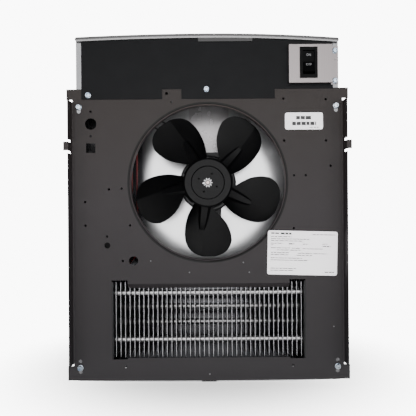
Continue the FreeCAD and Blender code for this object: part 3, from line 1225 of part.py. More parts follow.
def check_and_export():
    """Stop on any failed feature or bad shape, then write each sub-part to its file."""
    doc.recompute()
    for item in doc.Objects:
        if {"Invalid", "Error"} & set(item.State):
            raise ValueError(f"{item.Name} failed: {item.State}")
    for piece in NODES:
        if piece.Shape.isNull() or not piece.Shape.isValid() or piece.Shape.Volume <= 0:
            raise ValueError(f"{piece.Label} has no valid shape")
    os.makedirs("parts", exist_ok=True)
    for piece in NODES:
        piece.Shape.exportStep(f"parts/{piece.Label}.step")


make_back_pan()
make_pan_sides()
make_top_rail()
make_fan_deck()
make_wiring_cover()
make_wiring_barrier()
make_switch_bracket()
make_switch()
make_motor()
make_fan_wheel()
make_spindle()
make_fins()
make_hairpin("element_tube_upper", TUBE_ROWS[0], TUBE_ROWS[1])
make_hairpin("element_tube_lower", TUBE_ROWS[2], TUBE_ROWS[3])
make_element_brackets()
make_element_ends()
make_disc_switch("limit_switch", D.limit_x, D.limit_z, True)
make_disc_switch("fan_delay_switch", D.delay_x, D.delay_z, False)
make_terminal_block()
make_fasteners()
make_leads()
check_and_export()
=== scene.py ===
import json
import math
import random

import bmesh
import bpy
from bpy.props import FloatProperty, FloatVectorProperty, IntProperty, PointerProperty
from mathutils import Matrix, Vector


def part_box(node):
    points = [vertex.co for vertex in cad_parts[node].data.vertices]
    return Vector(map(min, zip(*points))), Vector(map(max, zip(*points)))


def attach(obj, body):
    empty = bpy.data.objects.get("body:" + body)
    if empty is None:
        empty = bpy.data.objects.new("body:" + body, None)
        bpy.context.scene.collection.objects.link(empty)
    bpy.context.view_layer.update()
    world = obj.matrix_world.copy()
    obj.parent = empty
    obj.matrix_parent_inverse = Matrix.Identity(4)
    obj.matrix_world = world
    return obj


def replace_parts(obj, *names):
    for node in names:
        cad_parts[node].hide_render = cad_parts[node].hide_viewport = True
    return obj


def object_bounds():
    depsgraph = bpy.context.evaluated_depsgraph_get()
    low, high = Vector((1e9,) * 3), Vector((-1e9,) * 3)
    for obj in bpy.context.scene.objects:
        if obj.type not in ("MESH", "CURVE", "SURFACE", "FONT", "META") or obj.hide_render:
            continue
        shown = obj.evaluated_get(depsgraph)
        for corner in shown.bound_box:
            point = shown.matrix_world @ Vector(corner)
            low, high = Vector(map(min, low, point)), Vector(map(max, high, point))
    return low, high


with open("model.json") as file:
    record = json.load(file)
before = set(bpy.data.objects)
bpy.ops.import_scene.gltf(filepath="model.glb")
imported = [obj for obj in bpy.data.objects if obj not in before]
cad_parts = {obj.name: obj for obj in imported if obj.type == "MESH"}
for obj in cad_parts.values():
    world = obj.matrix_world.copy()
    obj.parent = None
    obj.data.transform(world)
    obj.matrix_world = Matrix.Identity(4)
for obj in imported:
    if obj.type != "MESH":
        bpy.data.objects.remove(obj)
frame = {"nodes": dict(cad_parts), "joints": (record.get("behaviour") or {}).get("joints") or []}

bl_info = {
    "name": "Ceiling heater dressing",
    "version": (1, 0, 0),
    "blender": (4, 5, 0),
    "location": "View3D > Sidebar > Heater",
    "description": "Finishes and small pieces of a fan-forced ceiling heater around its CAD frame",
    "category": "Object",
}

CAD_BOX = [list(corner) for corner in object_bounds()]
MM = 0.001
DECK_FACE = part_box("wiring_cover")[1][1]
FAN_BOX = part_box("fan_wheel")
PIVOTS = {joint["name"]: joint["pos_m"] for joint in frame["joints"]}
FAN_AXIS_Z = PIVOTS["fan_spin"][2]
PAN_GAUGE = 0.0009
FACE_OUT = (math.pi / 2, 0.0, 0.0)


# Settings

def distance(name, description, size, precision=4):
    """Length with its default in millimetres."""
    return FloatProperty(name=name, description=description, default=size * MM, unit="LENGTH",
                         precision=precision)


def tone(name, description, *colour):
    """Base colour with its default."""
    return FloatVectorProperty(name=name, description=description, subtype="COLOR", default=colour,
                               min=0, max=1)


class HeaterSizes(bpy.types.PropertyGroup):
    """Sizes of the small pieces that the scene adds."""

    washer_radius: distance("Screw washer radius", "Outer radius of a screw's washer face", 4.1)
    washer_height: distance("Screw washer height", "Thickness of a screw's washer face", 0.8)
    head_width: distance("Screw head width", "Screw head across its flats", 6.25)
    head_height: distance("Screw head height", "Screw head above its washer face", 3.0)
    shank_radius: distance("Screw shank radius", "Radius of a screw's shank", 2.05)
    shank_length: distance("Screw shank length", "Length of a screw's shank", 8.0)
    collar_radius: distance("Fin collar radius", "Outer radius of the collar round a tube", 5.0)
    collar_length: distance("Fin collar length", "Length of the collar on a fin", 1.9)
    tube_radius: distance("Heating tube radius", "Radius of the tube inside the collars", 4.0)
    fin_pitch: distance("Fin pitch", "Spacing of the fins", 6.35)
    fin_count: IntProperty(name="Fins", description="Number of fins", default=41, min=2)
    spot_radius: distance("Spot radius", "Radius of a bare spot on the deck", 1.0)
    spot_height: distance("Spot height", "Height of a bare spot on the deck", 0.4)
    nut_teeth: IntProperty(name="Push nut teeth", description="Number of teeth on the push nut", default=10,
                           min=3)
    nut_lug_turn: FloatProperty(name="Push nut lug angle",
                                description="Angle of the push nut's lug about the shaft",
                                default=math.radians(191), subtype="ANGLE")
    paper_thickness: distance("Label thickness", "Thickness of a paper label", 0.14, 5)


class HeaterColours(bpy.types.PropertyGroup):
    """Base colours of the finishes."""

    deck_paint: tone("Deck paint", "Brown-black paint of the fan deck", 0.0275, 0.0234, 0.0248)
    # Painted shade: the deck's paint is darker at its lower edge, where less light falls.
    deck_shaded_low: tone("Deck paint, low", "Deck paint at its lower edge", 0.0160, 0.0144, 0.0161)
    deck_top: tone("Deck paint, top", "Deck paint at its upper edge", 0.0272, 0.0220, 0.0203)
    cover_paint: tone("Cover paint", "Blue-black paint of the wiring cover", 0.0031, 0.0033, 0.0042)
    galvanised: tone("Galvanised sheet", "Bare galvanised sheet of the pan", 0.60, 0.60, 0.61)
    bare_metal: tone("Bare metal", "Bare sheet of the bracket", 0.2182, 0.1975, 0.1984)
    rail_metal: tone("Rail metal", "Bright sheet of the top rail", 0.29, 0.287, 0.29)
    fan_black: tone("Fan black", "Moulded black of the fan wheel", 0.0020, 0.0020, 0.0023)
    switch_black: tone("Switch black", "Moulded black of the switch", 0.0012, 0.0012, 0.0015)
    zinc: tone("Zinc plating", "Bluish zinc plating of the screws", 0.20, 0.26, 0.34)
    fin_metal: tone("Fin metal", "Plated steel of the fins", 0.36, 0.355, 0.37)
    lead_red: tone("Lead red", "Insulation of the supply leads", 0.11, 0.005, 0.006)
    paper: tone("Label paper", "Paper of the two labels", 0.95, 0.925, 0.95)
    ink: tone("Label ink", "Ink of the ruled bars", 0.02, 0.02, 0.02)


def sizes():
    """The scene's size settings."""
    return bpy.context.scene.heater_sizes


def colours():
    """The scene's colour settings."""
    return bpy.context.scene.heater_colours


# Finishes

def set_inputs(node, values):
    """Set inputs of a node by name."""
    for name, value in values.items():
        node.inputs[name].default_value = value


def feed(links, value, socket):
    """Give an input a constant, or a link from another socket."""
    if isinstance(value, bpy.types.NodeSocket):
        links.new(value, socket)
    else:
        socket.default_value = value


def map_range(tree, value, start, end, low=0.0, high=1.0, kind="LINEAR"):
    """A value carried over from one span to another."""
    node = tree.nodes.new("ShaderNodeMapRange")
    node.interpolation_type = kind
    set_inputs(node, {"From Min": start, "From Max": end, "To Min": low, "To Max": high})
    tree.links.new(value, node.inputs["Value"])
    return node.outputs["Result"]


class Finish:
    """A Principled material that reads Object coordinates."""

    def __init__(self, name, colour, metallic, roughness, gloss=0.5):
        self.material = bpy.data.materials.new(name)
        self.material.use_nodes = True
        self.tree = self.material.node_tree
        self.nodes, self.links = self.tree.nodes, self.tree.links
        self.shader = self.nodes["Principled BSDF"]
        set_inputs(self.shader, {"Base Color": (*colour, 1), "Metallic": metallic, "Roughness": roughness,
                                 "Specular IOR Level": gloss})
        self.colour = colour
        self.place = self.nodes.new("ShaderNodeTexCoord").outputs["Object"]

    def on_place(self, kind, vector=None, **inputs):
        """Node that reads Object coordinates, with some of its inputs set."""
        node = self.nodes.new(kind)
        set_inputs(node, inputs)
        self.links.new(vector or self.place, node.inputs["Vector"])
        return node

    def noise(self, scale, detail=3.0, vector=None):
        """Noise value on the piece."""
        return self.on_place("ShaderNodeTexNoise", vector, Scale=scale, Detail=detail).outputs["Fac"]

    def grain(self, *stretch):
        """Noise drawn out unevenly along the axes."""
        return self.noise(1.0, 4, self.on_place("ShaderNodeMapping", Scale=stretch).outputs["Vector"])

    def bands(self, scale, axis):
        """Even bands along an axis."""
        node = self.on_place("ShaderNodeTexWave", Scale=scale)
        node.bands_direction = axis
        return node.outputs["Fac"]

    def spangle(self):
        """Base colour with the faint spangle of zinc, one tone for each crystal."""
        crystals = self.on_place("ShaderNodeTexVoronoi", Scale=95)
        split = self.nodes.new("ShaderNodeSeparateColor")
        self.links.new(crystals.outputs["Color"], split.inputs["Color"])
        return self.tint(split.outputs["Red"], 0.965, 1.02, 0.0, 1.0)

    def axes(self):
        """Object coordinates by axis."""
        return self.on_place("ShaderNodeSeparateXYZ").outputs

    def along(self, axis, start, end):
        """Share from 0 to 1 between two places along an axis."""
        return map_range(self.tree, self.axes()[axis], start, end)

    def operate(self, kind, operation, values, result):
        """Result of an operation on sockets and constants."""
        node = self.nodes.new(kind)
        node.operation = operation
        for socket, value in zip(node.inputs, values):
            feed(self.links, value, socket)
        return node.outputs[result]

    def maths(self, operation, *values):
        """Number from an operation on numbers."""
        return self.operate("ShaderNodeMath", operation, values, "Value")

    def vectors(self, operation, *values, result="Vector"):
        """Vector, or its length, from an operation on vectors."""
        return self.operate("ShaderNodeVectorMath", operation, values, result)

    def from_axis(self):
        """Distance from the fan's axis."""
        centred = self.vectors("SUBTRACT", self.place, (0.0, 0.0, FAN_AXIS_Z))
        flat = self.vectors("MULTIPLY", centred, (1.0, 0.0, 1.0))
        return self.vectors("LENGTH", flat, result="Value")

    def ramp(self, value, stops, interpolation="LINEAR"):
        """Colour by a value, from stops that each have a place and a colour."""
        node = self.nodes.new("ShaderNodeValToRGB")
        node.color_ramp.interpolation = interpolation
        elements = node.color_ramp.elements
        while len(elements) < len(stops):
            elements.new(0.5)
        for element, (spot, colour) in zip(elements, stops):
            element.position = spot
            element.color = (*colour, 1)
        self.links.new(value, node.inputs["Fac"])
        return node.outputs["Color"]

    def coat(self, colour):
        """Base colour from a socket."""
        self.links.new(colour, self.shader.inputs["Base Color"])
        return colour

    def tint(self, value, low, high, start=0.3, end=0.7):
        """Base colour between two shades of itself, or between two colours, by a value."""
        shades = [tuple(part * shade for part in self.colour) if isinstance(shade, float) else shade
                  for shade in (low, high)]
        return self.coat(self.ramp(value, list(zip((start, end), shades))))

    def dull(self, colour, share, shade):
        """Base colour multiplied by a shade where a share says so: painted shade."""
        mix = self.nodes.new("ShaderNodeMix")
        mix.data_type = "RGBA"
        mix.blend_type = "MULTIPLY"
        mix.inputs["B"].default_value = (*shade, 1)
        self.links.new(share, mix.inputs["Factor"])
        self.links.new(colour, mix.inputs["A"])
        self.coat(mix.outputs["Result"])

    def shine(self, value, low, high):
        """Roughness between two limits by a value."""
        self.links.new(map_range(self.tree, value, 0.0, 1.0, low, high), self.shader.inputs["Roughness"])

    def mottle(self, value, roughness):
        """Roughness a little to either side of a mean by a value."""
        self.shine(value, roughness - 0.05, roughness + 0.06)

    def relief(self, value, strength, depth=0.0002):
        """Bump by a value."""
        bump = self.nodes.new("ShaderNodeBump")
        set_inputs(bump, {"Strength": strength, "Distance": depth})
        self.links.new(value, bump.inputs["Height"])
        self.links.new(bump.outputs["Normal"], self.shader.inputs["Normal"])

    def orange_peel(self, roughness):
        """Uneven gloss and fine bumps of baked paint."""
        self.shine(self.noise(55, 3), roughness - 0.04, roughness + 0.06)
        self.relief(self.noise(1300, 2), 0.06)

    def glow(self, colour, strength):
        """Light that the surface gives by itself."""
        set_inputs(self.shader, {"Emission Color": (*colour, 1), "Emission Strength": strength})


DULL_ZINC = 0.72
# Painted shade on the pan's inner face: its colour, the margins where it is darkened, and the inner faces it
# is kept to.
PAN_PAINTED_SHADE = (0.13, 0.13, 0.14)
PAN_SHADE_MARGINS = (("X", -0.082, -0.100), ("X", 0.112, 0.128), ("Z", -0.075, -0.115))
PAN_INNER_FACES = (("Y", -0.085, -0.060), ("Y", -0.0003, -0.0008), ("Z", 0.2218, 0.2213),
                   ("Z", -0.2158, -0.2153))
# Painted shade on the side channels' front lips and inner faces.
LIP_PAINTED_SHADE = (0.27, 0.27, 0.275)


def silvered(name, colour):
    """Silvered sheet with a faint spangle."""
    low, high = 0.24, 0.30
    finish = Finish(name, colour, 0.55, low)
    finish.spangle()
    finish.shine(finish.noise(34, 4), low, high)
    return finish.material


def shade_painted_pan(name, colour):
    """Zinc coated sheet whose inner face has painted shade at its margins, where the deck shades it, and
    behind the heating element.
    """
    low, high = 0.19, 0.30
    finish = Finish(name, colour, DULL_ZINC, low)
    bright = finish.spangle()
    share = finish.along(*PAN_SHADE_MARGINS[0])
    for margin in PAN_SHADE_MARGINS[1:]:
        share = finish.maths("MAXIMUM", share, finish.along(*margin))
    for face in PAN_INNER_FACES:
        share = finish.maths("MULTIPLY", share, finish.along(*face))
    # Painted shade on the margins of the inner face.
    finish.dull(bright, share, PAN_PAINTED_SHADE)
    finish.shine(finish.along("Y", -0.0008, -0.0003), low, high)
    return finish.material


def shade_painted_channel(name, colour, front, outer):
    """Zinc coated channel with painted shade on its front lip and its inner face."""
    low, high = 0.16, 0.22
    finish = Finish(name, colour, DULL_ZINC, low)
    bright = finish.spangle()
    inward = -math.copysign(1.0, outer)
    lip = finish.along("Y", front + 0.0012, front + 0.0004)
    face = finish.along("X", outer + 0.0003 * inward, outer + 0.0006 * inward)
    # Painted shade on the lip and the inner face.
    finish.dull(bright, finish.maths("MAXIMUM", lip, face), LIP_PAINTED_SHADE)
    finish.shine(finish.noise(34, 4), low, high)
    return finish.material


def rolled_metal(name, colour, roughness, stretch):
    """Bare sheet with a fine grain from rolling."""
    finish = Finish(name, colour, 1.0, roughness)
    grain = finish.grain(*stretch)
    finish.tint(grain, 0.94, 1.04)
    finish.mottle(grain, roughness)
    return finish.material


def turned_end(name, colour, roughness, bright):
    """Ground shaft end, darkened round a centre of a given radius as painted shade."""
    finish = Finish(name, colour, 1.0, roughness)
    # Painted shade round the shaft's bright centre.
    share = map_range(finish.tree, finish.from_axis(), bright, bright * 1.35)
    finish.tint(share, 1.0, 0.12, 0.0, 1.0)
    finish.mottle(finish.grain(400, 8, 400), roughness)
    return finish.material


SHEET_GRAIN = (9, 400, 1200)


def edge_lit_sheet(name, colour, roughness, axis, places, shades):
    """Bare sheet with a painted highlight at one end of a short stretch along an axis and painted shade at
    its other end and beyond.
    """
    finish = Finish(name, colour, 1.0, roughness)
    finish.tint(finish.along(axis, *places), *shades, 0.0, 1.0)
    finish.mottle(finish.grain(*SHEET_GRAIN), roughness)
    return finish.material


def shade_painted_rail(name, colour, roughness, crown, falls, edges, shades):
    """Bare bowed rail painted in bands by depth below its curved top edge: painted shade on top, a painted
    highlight below it and painted shade at its foot.
    """
    finish = Finish(name, colour, 1.0, roughness)
    across, up = (finish.axes()[axis] for axis in "XZ")
    right = finish.maths("GREATER_THAN", across, 0.0)
    curve = finish.maths("ADD", falls[0], finish.maths("MULTIPLY", right, falls[1] - falls[0]))
    fall = finish.maths("MULTIPLY", finish.maths("MULTIPLY", across, across), curve)
    depth = finish.maths("SUBTRACT", crown, finish.maths("ADD", up, fall))
    reach = edges[-1] * 1.25
    stops = [(edge / reach, [part * shade for part in colour]) for edge, shade in zip((0.0,) + edges, shades)]
    finish.coat(finish.ramp(finish.maths("DIVIDE", depth, reach), stops, "CONSTANT"))
    finish.mottle(finish.grain(*SHEET_GRAIN), roughness)
    return finish.material


def sheet_paint(name, colour, roughness, gloss=0.3):
    """Baked paint with orange peel and slight clouds in its tone."""
    finish = Finish(name, colour, 0.0, roughness, gloss)
    finish.tint(finish.noise(14, 4), 0.93, 1.07, 0.25, 0.75)
    finish.orange_peel(roughness)
    return finish.material


# Painted light round the orifice by radius from the fan's axis: shade on the collar's inner wall, a thin
# glint at its edge, a dark ring of shade on its roll, then the plain deck.
RIM_GAIN = 8.0
RIM_PAINTED_LIGHT = [(radius, shade / RIM_GAIN) for radius, shade in (
    (0.1000, 0.6), (0.1046, 0.6), (0.1049, 3.2), (0.1054, 3.2), (0.1060, 0.12), (0.1084, 0.12), (0.1092, 1.0),
    (0.1200, 1.0))]


def baked_paint(name, stops, roughness, gloss):
    """Baked paint whose hue drifts along Z and darkens towards the bottom as painted shade, with painted
    shade and a painted glint round the orifice.
    """
    finish = Finish(name, stops[0][1], 0.0, roughness, gloss)
    low, high = stops[0][0], stops[-1][0]
    clouds = finish.maths("MULTIPLY_ADD", finish.noise(14, 4), 0.24, -0.12)
    drift = finish.maths("ADD", finish.along("Z", low, high), clouds)
    hue = finish.ramp(drift, [((height - low) / (high - low), colour) for height, colour in stops])
    # Painted shade and a painted glint round the orifice.
    inner, outer = RIM_PAINTED_LIGHT[0][0], RIM_PAINTED_LIGHT[-1][0]
    edge = finish.ramp(map_range(finish.tree, finish.from_axis(), inner, outer),
                       [((radius - inner) / (outer - inner), (shade,) * 3) for radius, shade in RIM_PAINTED_LIGHT])
    rim = finish.vectors("MULTIPLY", edge, (RIM_GAIN,) * 3)
    finish.coat(finish.vectors("MULTIPLY", hue, rim))
    finish.orange_peel(roughness)
    return finish.material


def moulded(name, colour, roughness, gloss=0.35):
    """Moulded plastic with a fine skin."""
    finish = Finish(name, colour, 0.0, roughness, gloss)
    finish.tint(finish.noise(30, 3), 0.88, 1.15)
    finish.mottle(finish.noise(220, 3), roughness)
    finish.relief(finish.noise(2600, 2), 0.06)
    return finish.material


def plated(name, colour, roughness, other):
    """Plated small part whose tone drifts between two hues."""
    finish = Finish(name, colour, 1.0, roughness)
    finish.tint(finish.noise(160, 2), tuple(other), tuple(colour), 0.35, 0.65)
    finish.shine(finish.noise(700, 2), roughness - 0.08, roughness + 0.10)
    return finish.material


def stacked(name, colour, axis, scale, metallic, roughness):
    """Laminated or wound part with even bands."""
    finish = Finish(name, colour, metallic, roughness)
    layers = finish.bands(scale, axis)
    finish.tint(layers, 0.75, 1.10, 0.2, 0.8)
    finish.shine(layers, roughness, roughness + 0.12)
    finish.relief(layers, 0.3, 0.0004)
    return finish.material


def paper(name, colour):
    """Coated label paper that glows a little as painted light to look brighter."""
    finish = Finish(name, colour, 0.0, 0.42)
    finish.tint(finish.noise(40, 3), 0.97, 1.0)
    finish.relief(finish.noise(900, 2), 0.04)
    finish.shine(finish.noise(300, 2), 0.38, 0.48)
    # Painted light: a slight glow brightens the paper.
    finish.glow(colour, 0.7)
    return finish.material


def inked(name, colour):
    """Ink on a label or a switch."""
    finish = Finish(name, colour, 0.0, 0.5)
    finish.tint(finish.noise(1500, 2), 0.9, 1.1)
    finish.shine(finish.noise(900, 2), 0.45, 0.6)
    return finish.material


# Shared making

def in_scene(name, data):
    """New object of the scene that holds some data."""
    item = bpy.data.objects.new(name, data)
    bpy.context.scene.collection.objects.link(item)
    return item


def dress(finish, *names):
    """Give CAD nodes a finish."""
    for name in names:
        for slot in frame["nodes"][name].material_slots:
            slot.material = finish


def new_piece(name, mesh, body, finish):
    """Link a mesh as a piece that rides on a body."""
    piece = in_scene(name, mesh)
    mesh.materials.append(finish)
    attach(piece, body)
    return piece


def mesh_from(name, build):
    """Mesh that a function fills through bmesh, with outward normals."""
    mesh = bpy.data.meshes.new(name)
    shape = bmesh.new()
    build(shape)
    bmesh.ops.remove_doubles(shape, verts=shape.verts, dist=1e-7)
    bmesh.ops.recalc_face_normals(shape, faces=shape.faces)
    shape.to_mesh(mesh)
    shape.free()
    return mesh


def evaluated_mesh(item):
    """Mesh of an object as its modifiers leave it."""
    depsgraph = bpy.context.evaluated_depsgraph_get()
    return bpy.data.meshes.new_from_object(item.evaluated_get(depsgraph), depsgraph=depsgraph)


def join_rings(shape, lower, upper):
    """Band of faces between two closed rings of corners."""
    for step in range(len(lower)):
        after = (step + 1) % len(lower)
        shape.faces.new((lower[step], lower[after], upper[after], upper[step]))


def ring_stack(shape, rings, count):
    """Closed skin over rings that each have a radius, or a function of angle for it, and a height."""
    loops = []
    for radius, height in rings:
        loop = []
        for step in range(count):
            angle = math.tau * step / count
            reach = radius(angle) if callable(radius) else radius
            loop.append(shape.verts.new((reach * math.cos(angle), reach * math.sin(angle), height)))
        loops.append(loop)
    for lower, upper in zip(loops, loops[1:]):
        join_rings(shape, lower, upper)
    shape.faces.new(list(reversed(loops[0])))
    shape.faces.new(loops[-1])


def point_mesh(name, points):
    """Mesh of loose points."""
    mesh = bpy.data.meshes.new(name)
    mesh.from_pydata(points, [], [])
    return mesh


class NodeTree:
    """A Geometry Nodes group under construction."""

    def __init__(self, name):
        self.group = bpy.data.node_groups.new(name, "GeometryNodeTree")
        for direction in ("INPUT", "OUTPUT"):
            self.group.interface.new_socket("Geometry", in_out=direction, socket_type="NodeSocketGeometry")
        self.start = self.group.nodes.new("NodeGroupInput")
        self.end = self.group.nodes.new("NodeGroupOutput")
        self.identifiers = {}

    def socket(self, name, kind, default=None):
        """Add a named input to the group."""
        item = self.group.interface.new_socket(name, in_out="INPUT", socket_type=kind)
        if default is not None:
            item.default_value = default
        self.identifiers[name] = item.identifier

    def node(self, kind, **inputs):
        """New node whose inputs are values or sockets, by name with spaces as underscores."""
        node = self.group.nodes.new(kind)
        for name, value in inputs.items():
            feed(self.group.links, value, node.inputs[name.replace("_", " ")])
        return node

    def given(self, name):
        """Output socket of a named group input."""
        return self.start.outputs[name]

    def close(self, geometry):
        """Realise instances, set the finish and end the tree."""
        real = self.node("GeometryNodeRealizeInstances", Geometry=geometry)
        coated = self.node("GeometryNodeSetMaterial", Geometry=real.outputs["Geometry"],
                           Material=self.given("Finish"))
        self.group.links.new(coated.outputs["Geometry"], self.end.inputs["Geometry"])


def grown(name, tree, base, values, body):
    """Run a node tree on a base mesh and keep the result as a plain mesh on a body."""
    carrier = in_scene(name, base)
    modifier = carrier.modifiers.new(name, "NODES")
    modifier.node_group = tree.group
    for label, value in values.items():
        modifier[tree.identifiers[label]] = value
    mesh = evaluated_mesh(carrier)
    carrier.modifiers.remove(modifier)
    carrier.data = mesh
    mesh.name = name
    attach(carrier, body)
    return carrier


def copies_tree():
    """Tree that puts a pattern object at every point of the base mesh."""
    tree = NodeTree("Pattern at points")
    tree.socket("Pattern", "NodeSocketObject")
    tree.socket("Finish", "NodeSocketMaterial")
    tree.socket("Turn", "NodeSocketRotation")
    tree.socket("Size", "NodeSocketFloat", 1.0)
    info = tree.node("GeometryNodeObjectInfo", Object=tree.given("Pattern"))
    size = tree.node("ShaderNodeCombineXYZ", **{axis: tree.given("Size") for axis in "XYZ"})
    spread = tree.node("GeometryNodeInstanceOnPoints", Points=tree.given("Geometry"),
                       Instance=info.outputs["Geometry"], Rotation=tree.given("Turn"),
                       Scale=size.outputs["Vector"])
    tree.close(spread.outputs["Instances"])
    return tree


def pattern_object(name, build):
    """Unlinked object that a node tree copies."""
    return bpy.data.objects.new(name, mesh_from(name, build))


# Screws

SCREW_SIDES = 24


def hex_reach(apothem):
    """Radius of a hexagon by angle, with a corner at 30 degrees."""
    def reach(angle):
        return apothem / math.cos((angle + math.pi / 6) % (math.pi / 3) - math.pi / 6)
    return reach


def screw_form(shape):
    """Hex washer head screw along Z with its seat at zero."""
    s = sizes()
    top = s.washer_height + s.head_height
    flats = s.head_width / 2
    hexagon = hex_reach(flats)
    ring_stack(shape, [
        (s.shank_radius * 0.25, -s.shank_length),
        (s.shank_radius * 0.95, -s.shank_length * 0.80),
        (s.shank_radius, 0),
        (s.washer_radius, 0),
        (s.washer_radius, s.washer_height * 0.45),
        (s.washer_radius * 0.94, s.washer_height * 0.8),
        (hexagon, s.washer_height),
        (hexagon, top * 0.90),
        (lambda angle: min(hexagon(angle), flats * 1.02), top * 0.96),
        (flats * 0.92, top),
        (flats * 0.62, top),
        (flats * 0.50, top * 0.62),
    ], SCREW_SIDES)


def screw_spots(node, pairs):
    """Seats of a CAD screw group from the corners of its box: 0 is the low corner and 1 the high one."""
    s = sizes()
    low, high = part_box(node)
    seat = low[1] + s.washer_height + s.head_height
    across = (low[0] + s.washer_radius, high[0] - s.washer_radius)
    up = (low[2] + s.washer_radius, high[2] - s.washer_radius)
    return [(across[i], seat, up[j]) for i, j in pairs]


class HEATER_OT_screws(bpy.types.Operator):
    """Zinc plated screws of the deck, the wiring cover and the switch bracket"""

    bl_idname = "heater.screws"
    bl_label = "Screws"

    def execute(self, context):
        finish = plated("Blue zinc", colours().zinc, 0.20, (0.44, 0.48, 0.52))
        pattern = pattern_object("screw_pattern", screw_form)
        tree = copies_tree()
        groups = {
            "deck_screws": [(0, 0), (0, 1), (1, 0), (1, 1)],
            "cover_screws": [(0, 0), (1, 1)],
            "bracket_screws": [(0, 0), (0, 1)],
        }
        for node, pairs in groups.items():
            base = point_mesh(f"{node}_points", screw_spots(node, pairs))
            piece = grown(f"{node}_detail", tree, base,
                          {"Pattern": pattern, "Finish": finish, "Turn": FACE_OUT}, "housing")
            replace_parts(piece, node)
        bpy.data.objects.remove(pattern)
        dress(finish, "motor_screws")
        return {"FINISHED"}


# Panels

RAIL_FALLS = (0.0040, 0.0069)
RAIL_EDGES = (0.0034, 0.0058)
# Painted light by depth on the rail: shade, then a highlight, then shade.
RAIL_PAINTED_LIGHT = (0.22, 0.78, 0.14)


class HEATER_OT_panels(bpy.types.Operator):
    """Painted panels and bare sheet metal of the housing"""

    bl_idname = "heater.panels"
    bl_label = "Panels"

    def execute(self, context):
        c = colours()
        low, high = (corner[2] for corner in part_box("fan_deck"))
        # The low stop carries painted shade.
        stops = ((low, c.deck_shaded_low), (0.0, c.deck_paint), (high, c.deck_top))
        dress(baked_paint("Deck paint", stops, 0.50, 0.2), "fan_deck")
        dress(sheet_paint("Cover paint", c.cover_paint, 0.46, 0.11), "wiring_cover")
        dress(shade_painted_pan("Galvanised pan", c.galvanised), "back_pan")
        for side, end in (("left", 0), ("right", 1)):
            node = f"pan_side_{side}"
            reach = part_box(node)
            # The side channels get painted shade on their front lips and inner faces.
            dress(shade_painted_channel(f"Galvanised {side} side", c.galvanised, reach[0][1], reach[end][0]), node)
        # The barrier and the element brackets get dark paint as painted shade, where they lie in shade.
        dress(sheet_paint("Barrier painted shade", c.cover_paint, 0.45), "wiring_barrier")
        dress(sheet_paint("Bracket painted shade", c.cover_paint, 0.42),
              "element_bracket_left", "element_bracket_right")
        low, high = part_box("top_rail")
        half = (high[0] - low[0]) / 2
        falls = [fall / half ** 2 for fall in RAIL_FALLS]
        # The rail gets painted shade and a painted highlight in bands.
        dress(shade_painted_rail("Rail sheet", c.rail_metal, 0.34, high[2], falls, RAIL_EDGES, RAIL_PAINTED_LIGHT), "top_rail")
        dress(rolled_metal("Bracket sheet", c.bare_metal, 0.36, (900, 300, 8)), "switch_bracket")
        return {"FINISHED"}


# Fan and motor

# Each ring of the push nut: share of its radius, depth of its teeth and share of its depth
NUT_RINGS = ((0.52, 0.0, 0.30), (0.52, 0.0, 0.75), (0.58, 0.0, 0.95), (0.66, 0.0, 0.85),
             (0.69, 0.01, 0.78), (0.85, 0.15, 0.95), (0.85, 0.15, 0.35), (0.66, 0.0, 0.15))
NUT_STEPS = 16
TOOTH_SLOPE, TOOTH_SHIFT = 2.4, 0.9
LUG_SLOPE, LUG_REACH, LUG_WAVE = 11.0, 0.40, 0.1


def push_nut_form(shape):
    """Spring steel ring with teeth bent forward, a dished middle and one longer lug."""
    s = sizes()
    low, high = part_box("push_nut")
    centre = Vector(((low[0] + high[0]) / 2, high[1], (low[2] + high[2]) / 2))
    reach = (high[0] - low[0]) / 2
    depth = high[1] - low[1]
    count = NUT_STEPS * s.nut_teeth
    rings = []
    for share, wave, front in NUT_RINGS:
        ring = []
        for step in range(count):
            turn = math.tau * step / count
            tooth = max(-1.0, min(1.0, TOOTH_SLOPE * math.cos(s.nut_teeth * turn) - TOOTH_SHIFT))
            near = min(abs(turn - s.nut_lug_turn) * LUG_SLOPE, math.pi / 2)
            lug = LUG_REACH * math.cos(near) ** 0.5 if wave > LUG_WAVE else 0.0
            radius = reach * (share + wave * tooth + lug)
            offset = Vector((radius * math.cos(turn), -depth * front, radius * math.sin(turn)))
            ring.append(shape.verts.new(centre + offset))
        rings.append(ring)
    for inner, outer in zip(rings, rings[1:] + rings[:1]):
        join_rings(shape, inner, outer)


BLADE_COUNT = 5
BLADE_TURN = math.radians(126)
CUT_MARGIN = 0.005
CREASE = math.radians(5)
# Edge of a blade's root, in millimetres across and along the blade
ROOT_EDGE = ((33.8, 84.5), (32.6, 80.0), (32.2, 77.0), (31.7, 73.0), (30.9, 69.0), (29.6, 65.0),
             (28.0, 61.0), (25.8, 56.5), (22.6, 52.0), (18.6, 47.5), (14.0, 43.0), (9.5, 39.0), (6.0, 35.6))
# Space beside a root, by radius in millimetres and angle in degrees
ROOT_SPACE = ((35.2, 15.0), (35.2, 21.0), (35.2, 27.0), (35.2, 33.0), (35.2, 36.0), (45.0, 36.5),
              (60.0, 36.0), (75.0, 32.5), (87.0, 26.5))


def smoothed(points, steps=4):
    """Catmull-Rom curve through points that are pairs of numbers."""
    ends = [points[0], *points, points[-1]]
    curve = []
    for before, start, end, after in zip(ends, ends[1:], ends[2:], ends[3:]):
        for step in range(steps):
            t = step / steps
            curve.append(tuple(0.5 * (2 * b + (c - a) * t + (2 * a - 5 * b + 4 * c - d) * t * t
                                      + (3 * b - a - 3 * c + d) * t ** 3)
                               for a, b, c, d in zip(before, start, end, after)))
    return curve + [points[-1]]


